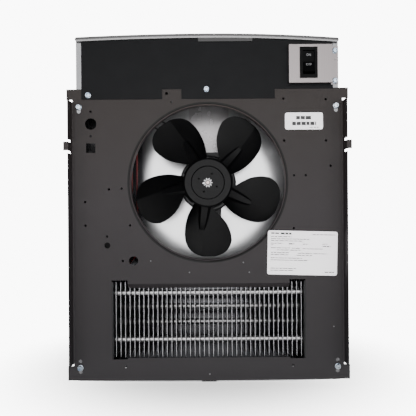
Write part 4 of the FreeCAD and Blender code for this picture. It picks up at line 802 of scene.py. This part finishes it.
def root_cutters(shape):
    """Prisms that fill the spaces beside the roots of the blades."""
    front, rear = FAN_BOX[0][1] - CUT_MARGIN, FAN_BOX[1][1] + CUT_MARGIN
    outline = smoothed(ROOT_EDGE)
    for radius, offset in ROOT_SPACE:
        outline.append((radius * math.sin(math.radians(offset)), radius * math.cos(math.radians(offset))))
    for number in range(BLADE_COUNT):
        turn = BLADE_TURN + math.tau * number / BLADE_COUNT
        u, v = math.cos(turn) * MM, math.sin(turn) * MM
        rings = [[shape.verts.new((along * u - across * v, depth, FAN_AXIS_Z + along * v + across * u))
                  for across, along in outline] for depth in (front, rear)]
        for ring in rings:
            shape.faces.new(ring)
        join_rings(shape, *rings)


def necked_wheel(finish):
    """Fan wheel whose blades narrow to a neck at the hub."""
    def build(shape):
        shape.from_mesh(frame["nodes"]["fan_wheel"].data)

    name = "fan_wheel_necked"
    plain = mesh_from(name, build)
    shell = bpy.data.meshes.new(name)
    shell.from_pydata([corner.co for corner in plain.vertices], [],
                      [face.vertices[:] for face in plain.polygons])
    wheel = in_scene(name, shell)
    cutters = in_scene("root_cutters", mesh_from("root_cutters", root_cutters))
    trim = wheel.modifiers.new("roots", "BOOLEAN")
    trim.operation = "DIFFERENCE"
    trim.solver = "EXACT"
    trim.object = cutters
    mesh = evaluated_mesh(wheel)
    for item in (wheel, cutters):
        bpy.data.objects.remove(item)
    mesh.materials.clear()
    mesh.shade_smooth()
    mesh.set_sharp_from_angle(angle=CREASE)
    return new_piece(name, mesh, "fan", finish)


class HEATER_OT_fan(bpy.types.Operator):
    """Fan wheel, push nut and motor"""

    bl_idname = "heater.fan"
    bl_label = "Fan and motor"

    def execute(self, context):
        c = colours()
        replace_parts(necked_wheel(moulded("Fan black", c.fan_black, 0.33, 0.105)), "fan_wheel")
        spring = plated("Spring steel", (0.46, 0.46, 0.47), 0.30, (0.38, 0.38, 0.39))
        star = mesh_from("push_nut_star", push_nut_form)
        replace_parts(new_piece("push_nut_star", star, "fan", spring), "push_nut")
        dress(turned_end("Ground steel", (0.42, 0.36, 0.34), 0.32, 0.0018), "motor_shaft")
        dress(sheet_paint("Motor enamel", (0.014, 0.014, 0.015), 0.36),
              "motor_bracket", "motor_shell", "motor_front_bell")
        dress(rolled_metal("Sintered bronze", (0.46, 0.33, 0.19), 0.45, (500, 500, 500)),
              "rear_bearing", "front_bearing")
        dress(stacked("Core laminations", (0.28, 0.28, 0.29), "Y", 320, 1.0, 0.42),
              "stator_core", "motor_rotor")
        dress(stacked("Enamelled winding", (0.52, 0.20, 0.08), "Y", 260, 0.7, 0.30), "stator_windings")
        return {"FINISHED"}


# Heating element

COLLAR_SIDES = 18
FIN_EDGE = (0.0004, 0.0030)
# Painted light on the fins: a highlight on their front edges, shade on their faces.
FIN_PAINTED_LIGHT = (1.25, 0.30)


def collar_tree():
    """Tree that puts a collar round a tube at every fin of a row."""
    tree = NodeTree("Fin collars")
    tree.socket("Finish", "NodeSocketMaterial")
    tree.socket("Fins", "NodeSocketInt")
    for name in ("Pitch", "Outer radius", "Tube radius", "Length"):
        tree.socket(name, "NodeSocketFloat")
    step = tree.node("ShaderNodeCombineXYZ", X=tree.given("Pitch"))
    row = tree.node("GeometryNodeMeshLine", Count=tree.given("Fins"), Offset=step.outputs["Vector"])
    rows = tree.node("GeometryNodeInstanceOnPoints", Points=tree.given("Geometry"),
                     Instance=row.outputs["Mesh"])
    points = tree.node("GeometryNodeRealizeInstances", Geometry=rows.outputs["Instances"])
    outer = tree.node("GeometryNodeMeshCone", Vertices=COLLAR_SIDES, Radius_Top=tree.given("Tube radius"),
                      Radius_Bottom=tree.given("Outer radius"), Depth=tree.given("Length"))
    spread = tree.node("GeometryNodeInstanceOnPoints", Points=points.outputs["Geometry"],
                       Instance=outer.outputs["Mesh"], Rotation=(0.0, math.pi / 2, 0.0))
    tree.close(spread.outputs["Instances"])
    return tree


class HEATER_OT_element(bpy.types.Operator):
    """Finned heating element with the collars of its fins"""

    bl_idname = "heater.element"
    bl_label = "Heating element"

    def execute(self, context):
        c, s = colours(), sizes()
        first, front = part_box("element_fins")[0][:2]
        edge = [front + depth for depth in FIN_EDGE]
        tube = rolled_metal("Element tube", (0.40, 0.395, 0.40), 0.36, (20, 400, 400))
        # The fins get a painted highlight on their front edges and painted shade on their faces.
        dress(edge_lit_sheet("Fin metal", c.fin_metal, 0.40, "Y", edge, FIN_PAINTED_LIGHT), "element_fins")
        dress(tube, "element_tube_upper", "element_tube_lower")
        dress(moulded("Glazed ceramic", (0.80, 0.77, 0.70), 0.30), "element_insulators")
        dress(plated("Tinned brass", (0.62, 0.55, 0.38), 0.34, (0.66, 0.63, 0.55)),
              "element_pins", "element_jumper", "switch_terminals", "terminal_screws")
        rows = []
        for node in ("element_tube_upper", "element_tube_lower"):
            low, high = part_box(node)
            depths = [low[1] + s.tube_radius, high[1] - s.tube_radius]
            if node.endswith("lower"):
                depths.reverse()
            heights = (high[2] - s.tube_radius, low[2] + s.tube_radius)
            rows += [(first, depth, height) for depth, height in zip(depths, heights)]
        grown("fin_collars", collar_tree(), point_mesh("collar_rows", rows),
              {"Finish": tube, "Fins": s.fin_count, "Pitch": s.fin_pitch, "Outer radius": s.collar_radius,
               "Tube radius": s.tube_radius, "Length": s.collar_length}, "housing")
        return {"FINISHED"}


# Wiring

class HEATER_OT_wiring(bpy.types.Operator):
    """Leads, terminals and thermal switches"""

    bl_idname = "heater.wiring"
    bl_label = "Wiring"

    def execute(self, context):
        dress(moulded("Red insulation", colours().lead_red, 0.34),
              "lead_supply", "lead_return", "lead_limit_to_element")
        dress(moulded("Black insulation", (0.014, 0.014, 0.015), 0.38), "motor_lead_a", "motor_lead_b")
        dress(moulded("Moulded phenolic", (0.016, 0.016, 0.016), 0.45), "terminal_block", "lead_bushing")
        dress(moulded("Dark switch cap", (0.002, 0.002, 0.0022), 0.55, 0.06),
              "limit_switch", "fan_delay_switch")
        dress(plated("Green plating", (0.05, 0.26, 0.07), 0.35, (0.07, 0.30, 0.10)), "ground_screw")
        return {"FINISHED"}


# Switch

ROCKER_REST = math.radians(11)
ROCKER_DIP, ROCKER_CREST, ROCKER_HALF = 0.00546, 0.00742, 0.0146
LETTER_HEIGHT, LETTER_DEPTH, LETTER_LIFT = 0.0042, 0.00004, 0.00008


def mark(words, place, tilt, finish):
    """Flat raised word on the rocker, on a face that is turned about X from facing the room."""
    name = f"mark_{words.lower()}"
    curve = bpy.data.curves.new(name, "FONT")
    curve.body = words
    curve.size = LETTER_HEIGHT
    curve.align_x = "CENTER"
    curve.align_y = "CENTER"
    curve.extrude = LETTER_DEPTH
    writer = in_scene(name, curve)
    mesh = evaluated_mesh(writer)
    bpy.data.objects.remove(writer)
    mesh.transform(Matrix.Translation(place) @ Matrix.Rotation(math.pi / 2 + tilt, 4, "X"))
    mesh.materials.clear()
    new_piece(name, mesh, "rocker", finish)


class HEATER_OT_switch(bpy.types.Operator):
    """Rocker switch with its two words"""

    bl_idname = "heater.switch"
    bl_label = "Rocker switch"

    def execute(self, context):
        c = colours()
        dress(moulded("Switch housing", c.switch_black, 0.44, 0.07), "switch_housing")
        dress(moulded("Switch rocker", c.switch_black, 0.42, 0.06), "switch_rocker")
        white = inked("White marking", (0.30, 0.30, 0.31))
        rise = ROCKER_CREST - ROCKER_DIP
        face = math.atan2(rise, ROCKER_HALF)
        for words, share, sign in (("ON", 0.62, 1), ("OFF", 0.30, -1)):
            flat = Vector((0, -(ROCKER_DIP + rise * share + LETTER_LIFT), sign * ROCKER_HALF * share))
            spot = Matrix.Rotation(-ROCKER_REST, 3, "X") @ flat
            mark(words, Vector(PIVOTS["switch_rock"]) + spot, -ROCKER_REST + sign * face, white)
        return {"FINISHED"}


# Labels

ORIFICE_RADIUS, ORIFICE_ROLL = 0.1045, 0.0035


def on_deck(across, up, lift):
    """Point in front of the deck, following the rolled edge of the orifice."""
    outer = ORIFICE_RADIUS + ORIFICE_ROLL
    reach = math.hypot(across, up - FAN_AXIS_Z)
    sink = 0.0
    if reach < outer:
        inset = min(outer - reach, ORIFICE_ROLL)
        sink = ORIFICE_ROLL - math.sqrt(ORIFICE_ROLL * ORIFICE_ROLL - inset * inset)
    return Vector((across, DECK_FACE - lift + sink, up))


def on_wall(across, up, lift):
    """Point in front of the pan's rear wall."""
    return Vector((across, -PAN_GAUGE - lift, up))


class Label:
    """A thin sheet with round corners that lies on a surface."""

    columns, rows = 60, 40
    bar_gap, bar_least, bar_spread = 0.9 * MM, 0.4 * MM, (0.6, 1.4)
    ink_lift, ink_thickness = 1.6, 0.02 * MM
    seed = 11

    def __init__(self, name, centre, width, height, corner, turn=0.0, surface=on_deck):
        self.name, self.centre, self.turn, self.corner = name, centre, turn, corner
        self.width, self.height, self.surface = width, height, surface

    def spot(self, u, v, lift):
        """Point of the label from its middle, at a height above its surface."""
        across = self.centre[0] + u * math.cos(self.turn) - v * math.sin(self.turn)
        up = self.centre[1] + u * math.sin(self.turn) + v * math.cos(self.turn)
        return self.surface(across, up, lift)

    def rounded(self, column, row):
        """Grid point with the label's corners pulled in to arcs."""
        u = (column / self.columns - 0.5) * self.width
        v = (row / self.rows - 0.5) * self.height
        edge_u, edge_v = self.width / 2 - self.corner, self.height / 2 - self.corner
        over_u, over_v = abs(u) - edge_u, abs(v) - edge_v
        if over_u > 0 and over_v > 0:
            shrink = min(1.0, self.corner / math.hypot(over_u, over_v))
            u, v = math.copysign(edge_u + over_u * shrink, u), math.copysign(edge_v + over_v * shrink, v)
        return u, v

    def piece(self, name, build, finish, thickness):
        """Flat piece on the housing with a thickness."""
        piece = new_piece(name, mesh_from(name, build), "housing", finish)
        skin = piece.modifiers.new("thickness", "SOLIDIFY")
        skin.thickness = thickness
        skin.offset = 0

    def sheet(self, finish):
        """The sheet itself."""
        lift = sizes().paper_thickness

        def build(shape):
            grid = [[shape.verts.new(self.spot(*self.rounded(column, row), lift))
                     for column in range(self.columns + 1)] for row in range(self.rows + 1)]
            for low, high in zip(grid, grid[1:]):
                for column in range(self.columns):
                    shape.faces.new((low[column], low[column + 1], high[column + 1], high[column]))

        self.piece(self.name, build, finish, lift)

    def bars(self, lines, finish):
        """Ruled bars: each line has its left, top, length, height and mean bar length in millimetres."""
        lift = self.ink_lift * sizes().paper_thickness
        chance = random.Random(self.seed)

        def build(shape):
            for line in lines:
                left, top, length, height, mean = (part * MM for part in line)
                start, end = left, left + length
                while start < end - self.bar_least:
                    stop = min(end, start + mean * chance.uniform(*self.bar_spread))
                    corners = [(start, top), (start, top + height), (stop, top + height), (stop, top)]
                    shape.faces.new([shape.verts.new(self.spot(u - self.width / 2, self.height / 2 - v, lift))
                                     for u, v in corners])
                    start = stop + self.bar_gap

        self.piece(f"{self.name}_bars", build, finish, self.ink_thickness)


INLET_LINES = [(15.0, 4.6, 21.5, 4.6, 5.5), (9.5, 12.4, 32.5, 4.6, 5.5), (33.0, 19.6, 13.0, 0.8, 4.0)]
DATA_LINES = [
    (4.2, 2.6, 11.0, 1.9, 5.0), (17.3, 2.4, 14.5, 2.6, 4.0), (60.0, 4.0, 31.5, 0.9, 4.5),
    (4.2, 7.6, 28.5, 0.9, 5.0), (4.2, 10.6, 51.5, 0.9, 5.0), (4.2, 13.2, 42.5, 0.9, 5.0),
    (4.2, 16.6, 16.0, 0.9, 4.0), (28.5, 16.8, 7.0, 1.4, 4.0), (47.3, 17.2, 6.8, 0.9, 4.0),
    (74.0, 16.6, 7.2, 0.9, 4.0), (74.0, 19.6, 11.5, 1.1, 4.0), (4.2, 18.9, 4.0, 0.9, 4.0),
    (4.2, 22.8, 26.0, 0.9, 5.0), (33.0, 23.0, 11.0, 0.9, 4.0), (47.2, 23.4, 27.5, 0.9, 5.0),
    (12.8, 25.6, 32.0, 0.9, 5.0), (4.2, 29.2, 24.5, 0.9, 5.0), (40.8, 29.6, 19.0, 0.9, 5.0),
    (62.0, 29.8, 18.0, 0.9, 5.0), (4.2, 32.0, 24.5, 0.9, 5.0), (39.2, 32.4, 21.0, 0.9, 5.0),
    (4.2, 36.4, 42.5, 0.9, 5.0), (4.2, 39.2, 51.0, 0.9, 5.0), (4.2, 50.4, 34.5, 0.9, 5.0),
    (4.2, 53.2, 32.0, 0.9, 5.0), (78.0, 54.4, 12.5, 1.2, 4.0),
]


class HEATER_OT_labels(bpy.types.Operator):
    """Two paper labels with ruled bars on the deck, and a silvered sheet on the pan's rear wall"""

    bl_idname = "heater.labels"
    bl_label = "Labels"

    def execute(self, context):
        stock = paper("Label paper", colours().paper)
        ink = inked("Label ink", colours().ink)
        inlet = Label("inlet_label", (0.1306, 0.1167), width=0.0512, height=0.0228, corner=0.0030)
        data = Label("data_label", (0.1272, -0.0618), width=0.0942, height=0.0593, corner=0.0028,
                     turn=math.radians(-1.6))
        for label, lines in ((inlet, INLET_LINES), (data, DATA_LINES)):
            label.sheet(stock)
            label.bars(lines, ink)
        wall = Label("wall_sheet", (0.002, 0.124), width=0.060, height=0.090, corner=0.002, surface=on_wall)
        wall.sheet(silvered("Silvered sheet", (0.29, 0.28, 0.285)))
        return {"FINISHED"}


# Spots

SPOTS = [(-78.0, -71.1), (-25.7, -86.9), (55.2, -87.2), (47.2, -73.9), (169.1, -161.3), (0.9, -224.5)]
DOME_RINGS = ((1.0, -0.5), (1.0, 0.15), (0.86, 0.6), (0.6, 0.88), (0.25, 1.0))
DOME_SIDES = 16


def dome_form(shape):
    """Low dome along Z with its seat at zero."""
    s = sizes()
    ring_stack(shape, [(s.spot_radius * share, s.spot_height * rise)
                       for share, rise in DOME_RINGS], DOME_SIDES)


class HEATER_OT_spots(bpy.types.Operator):
    """Bare dimples on the deck"""

    bl_idname = "heater.spots"
    bl_label = "Deck spots"

    def execute(self, context):
        finish = plated("Bare spot", (0.20, 0.20, 0.205), 0.34, (0.12, 0.12, 0.125))
        pattern = pattern_object("spot_pattern", dome_form)
        base = point_mesh("spot_points", [(across * MM, DECK_FACE, up * MM) for across, up in SPOTS])
        grown("deck_spots", copies_tree(), base, {"Pattern": pattern, "Finish": finish, "Turn": FACE_OUT},
              "housing")
        bpy.data.objects.remove(pattern)
        return {"FINISHED"}


# Stage

FLOOR_DROP, FLOOR_RADIUS, FLOOR_SIDES = 0.0006, 1.6, 64
FLOOR_GLOW = 0.9
# Spans that a value is carried from and to: start, end, low and high
FLOOR_FADE = (0.25, 0.44, 1.0, 0.0)
SKY_LIGHT = (-0.35, 0.7, 0.05, 1.6)
BACKDROP_LIGHT = 12.0
# Lamps by name, with place, size and power
LAMPS = (
    ("front", (0.0, -2.3, 0.25), 1.7, 45),
    ("left", (-1.6, -1.6, 0.0), 1.2, 15),
    ("right", (1.6, -1.6, 0.1), 1.2, 18),
    ("low", (0.2, -1.6, -1.6), 1.2, 18),
    ("top", (0.2, -0.4, 1.9), 1.2, 4),
)
LENS_LENGTH, CAMERA_BACK = 51.2, 0.8
CAMERA_ROLL = math.radians(0.42)


class HEATER_OT_stage(bpy.types.Operator):
    """Floor, studio light and camera"""

    bl_idname = "heater.stage"
    bl_label = "Stage"

    def execute(self, context):
        self.floor()
        self.sky()
        self.lamps()
        self.camera()
        return {"FINISHED"}

    def floor(self):
        """Pale round floor that runs out into the background."""
        def build(shape):
            low, middle = CAD_BOX[0][2] - FLOOR_DROP, (CAD_BOX[0][1] + CAD_BOX[1][1]) / 2
            turns = (math.tau * step / FLOOR_SIDES for step in range(FLOOR_SIDES))
            shape.faces.new([shape.verts.new((FLOOR_RADIUS * math.cos(turn),
                                              middle + FLOOR_RADIUS * math.sin(turn), low))
                             for turn in turns])

        floor = in_scene("floor", mesh_from("floor", build))
        ground = Finish("Pale floor", (0.90, 0.90, 0.90), 0.0, 0.7, 0.2)
        ground.tint(ground.noise(3, 2), 0.985, 1.0)
        ground.glow((1, 1, 1), FLOOR_GLOW)
        reach = ground.vectors("LENGTH", ground.place, result="Value")
        fade = map_range(ground.tree, reach, *FLOOR_FADE, "SMOOTHSTEP")
        ground.links.new(fade, ground.shader.inputs["Alpha"])
        floor.data.materials.append(ground.material)

    def sky(self):
        """Soft light from behind and a bright backdrop for the camera."""
        world = bpy.data.worlds.new("Studio")
        world.use_nodes = True
        nodes, links = world.node_tree.nodes, world.node_tree.links
        light, backdrop = nodes["Background"], nodes.new("ShaderNodeBackground")
        split = nodes.new("ShaderNodeSeparateXYZ")
        links.new(nodes.new("ShaderNodeTexCoord").outputs["Generated"], split.inputs["Vector"])
        strength = map_range(world.node_tree, split.outputs["Y"], *SKY_LIGHT, "SMOOTHSTEP")
        links.new(strength, light.inputs["Strength"])
        light.inputs["Color"].default_value = (1, 1, 1, 1)
        backdrop.inputs["Strength"].default_value = BACKDROP_LIGHT
        seen = nodes.new("ShaderNodeMixShader")
        links.new(nodes.new("ShaderNodeLightPath").outputs["Is Camera Ray"], seen.inputs["Fac"])
        links.new(light.outputs["Background"], seen.inputs[1])
        links.new(backdrop.outputs["Background"], seen.inputs[2])
        links.new(seen.outputs["Shader"], nodes["World Output"].inputs["Surface"])
        bpy.context.scene.world = world

    def lamps(self):
        """Area lamps that face the middle of the heater."""
        for name, place, size, power in LAMPS:
            lamp = bpy.data.lights.new(name, "AREA")
            lamp.size = size
            lamp.energy = power
            holder = in_scene(name, lamp)
            holder.location = place
            holder.rotation_euler = (-Vector(place)).to_track_quat("-Z", "Y").to_euler()

    def camera(self):
        """Camera square on to the front."""
        lens = bpy.data.cameras.new("view")
        lens.lens = LENS_LENGTH
        holder = in_scene("view", lens)
        holder.location = (0.0, DECK_FACE - CAMERA_BACK, 0.0)
        holder.rotation_euler = (math.pi / 2, CAMERA_ROLL, 0.0)
        bpy.context.scene.camera = holder


class HEATER_PT_sidebar(bpy.types.Panel):
    """Steps that dress the heater"""

    bl_idname = "HEATER_PT_sidebar"
    bl_label = "Ceiling heater"
    bl_space_type = "VIEW_3D"
    bl_region_type = "UI"
    bl_category = "Heater"

    def draw(self, context):
        for step in STEPS:
            self.layout.operator(step.bl_idname)


STEPS = (HEATER_OT_panels, HEATER_OT_fan, HEATER_OT_element, HEATER_OT_wiring, HEATER_OT_switch,
         HEATER_OT_screws, HEATER_OT_labels, HEATER_OT_spots, HEATER_OT_stage)
CLASSES = (HeaterSizes, HeaterColours) + STEPS + (HEATER_PT_sidebar,)


def register():
    for item in CLASSES:
        bpy.utils.register_class(item)
    bpy.types.Scene.heater_sizes = PointerProperty(type=HeaterSizes)
    bpy.types.Scene.heater_colours = PointerProperty(type=HeaterColours)


def unregister():
    del bpy.types.Scene.heater_colours
    del bpy.types.Scene.heater_sizes
    for item in reversed(CLASSES):
        bpy.utils.unregister_class(item)


def main():
    register()
    for step in STEPS:
        family, action = step.bl_idname.split(".")
        getattr(getattr(bpy.ops, family), action)()


if __name__ == "__main__":
    main()
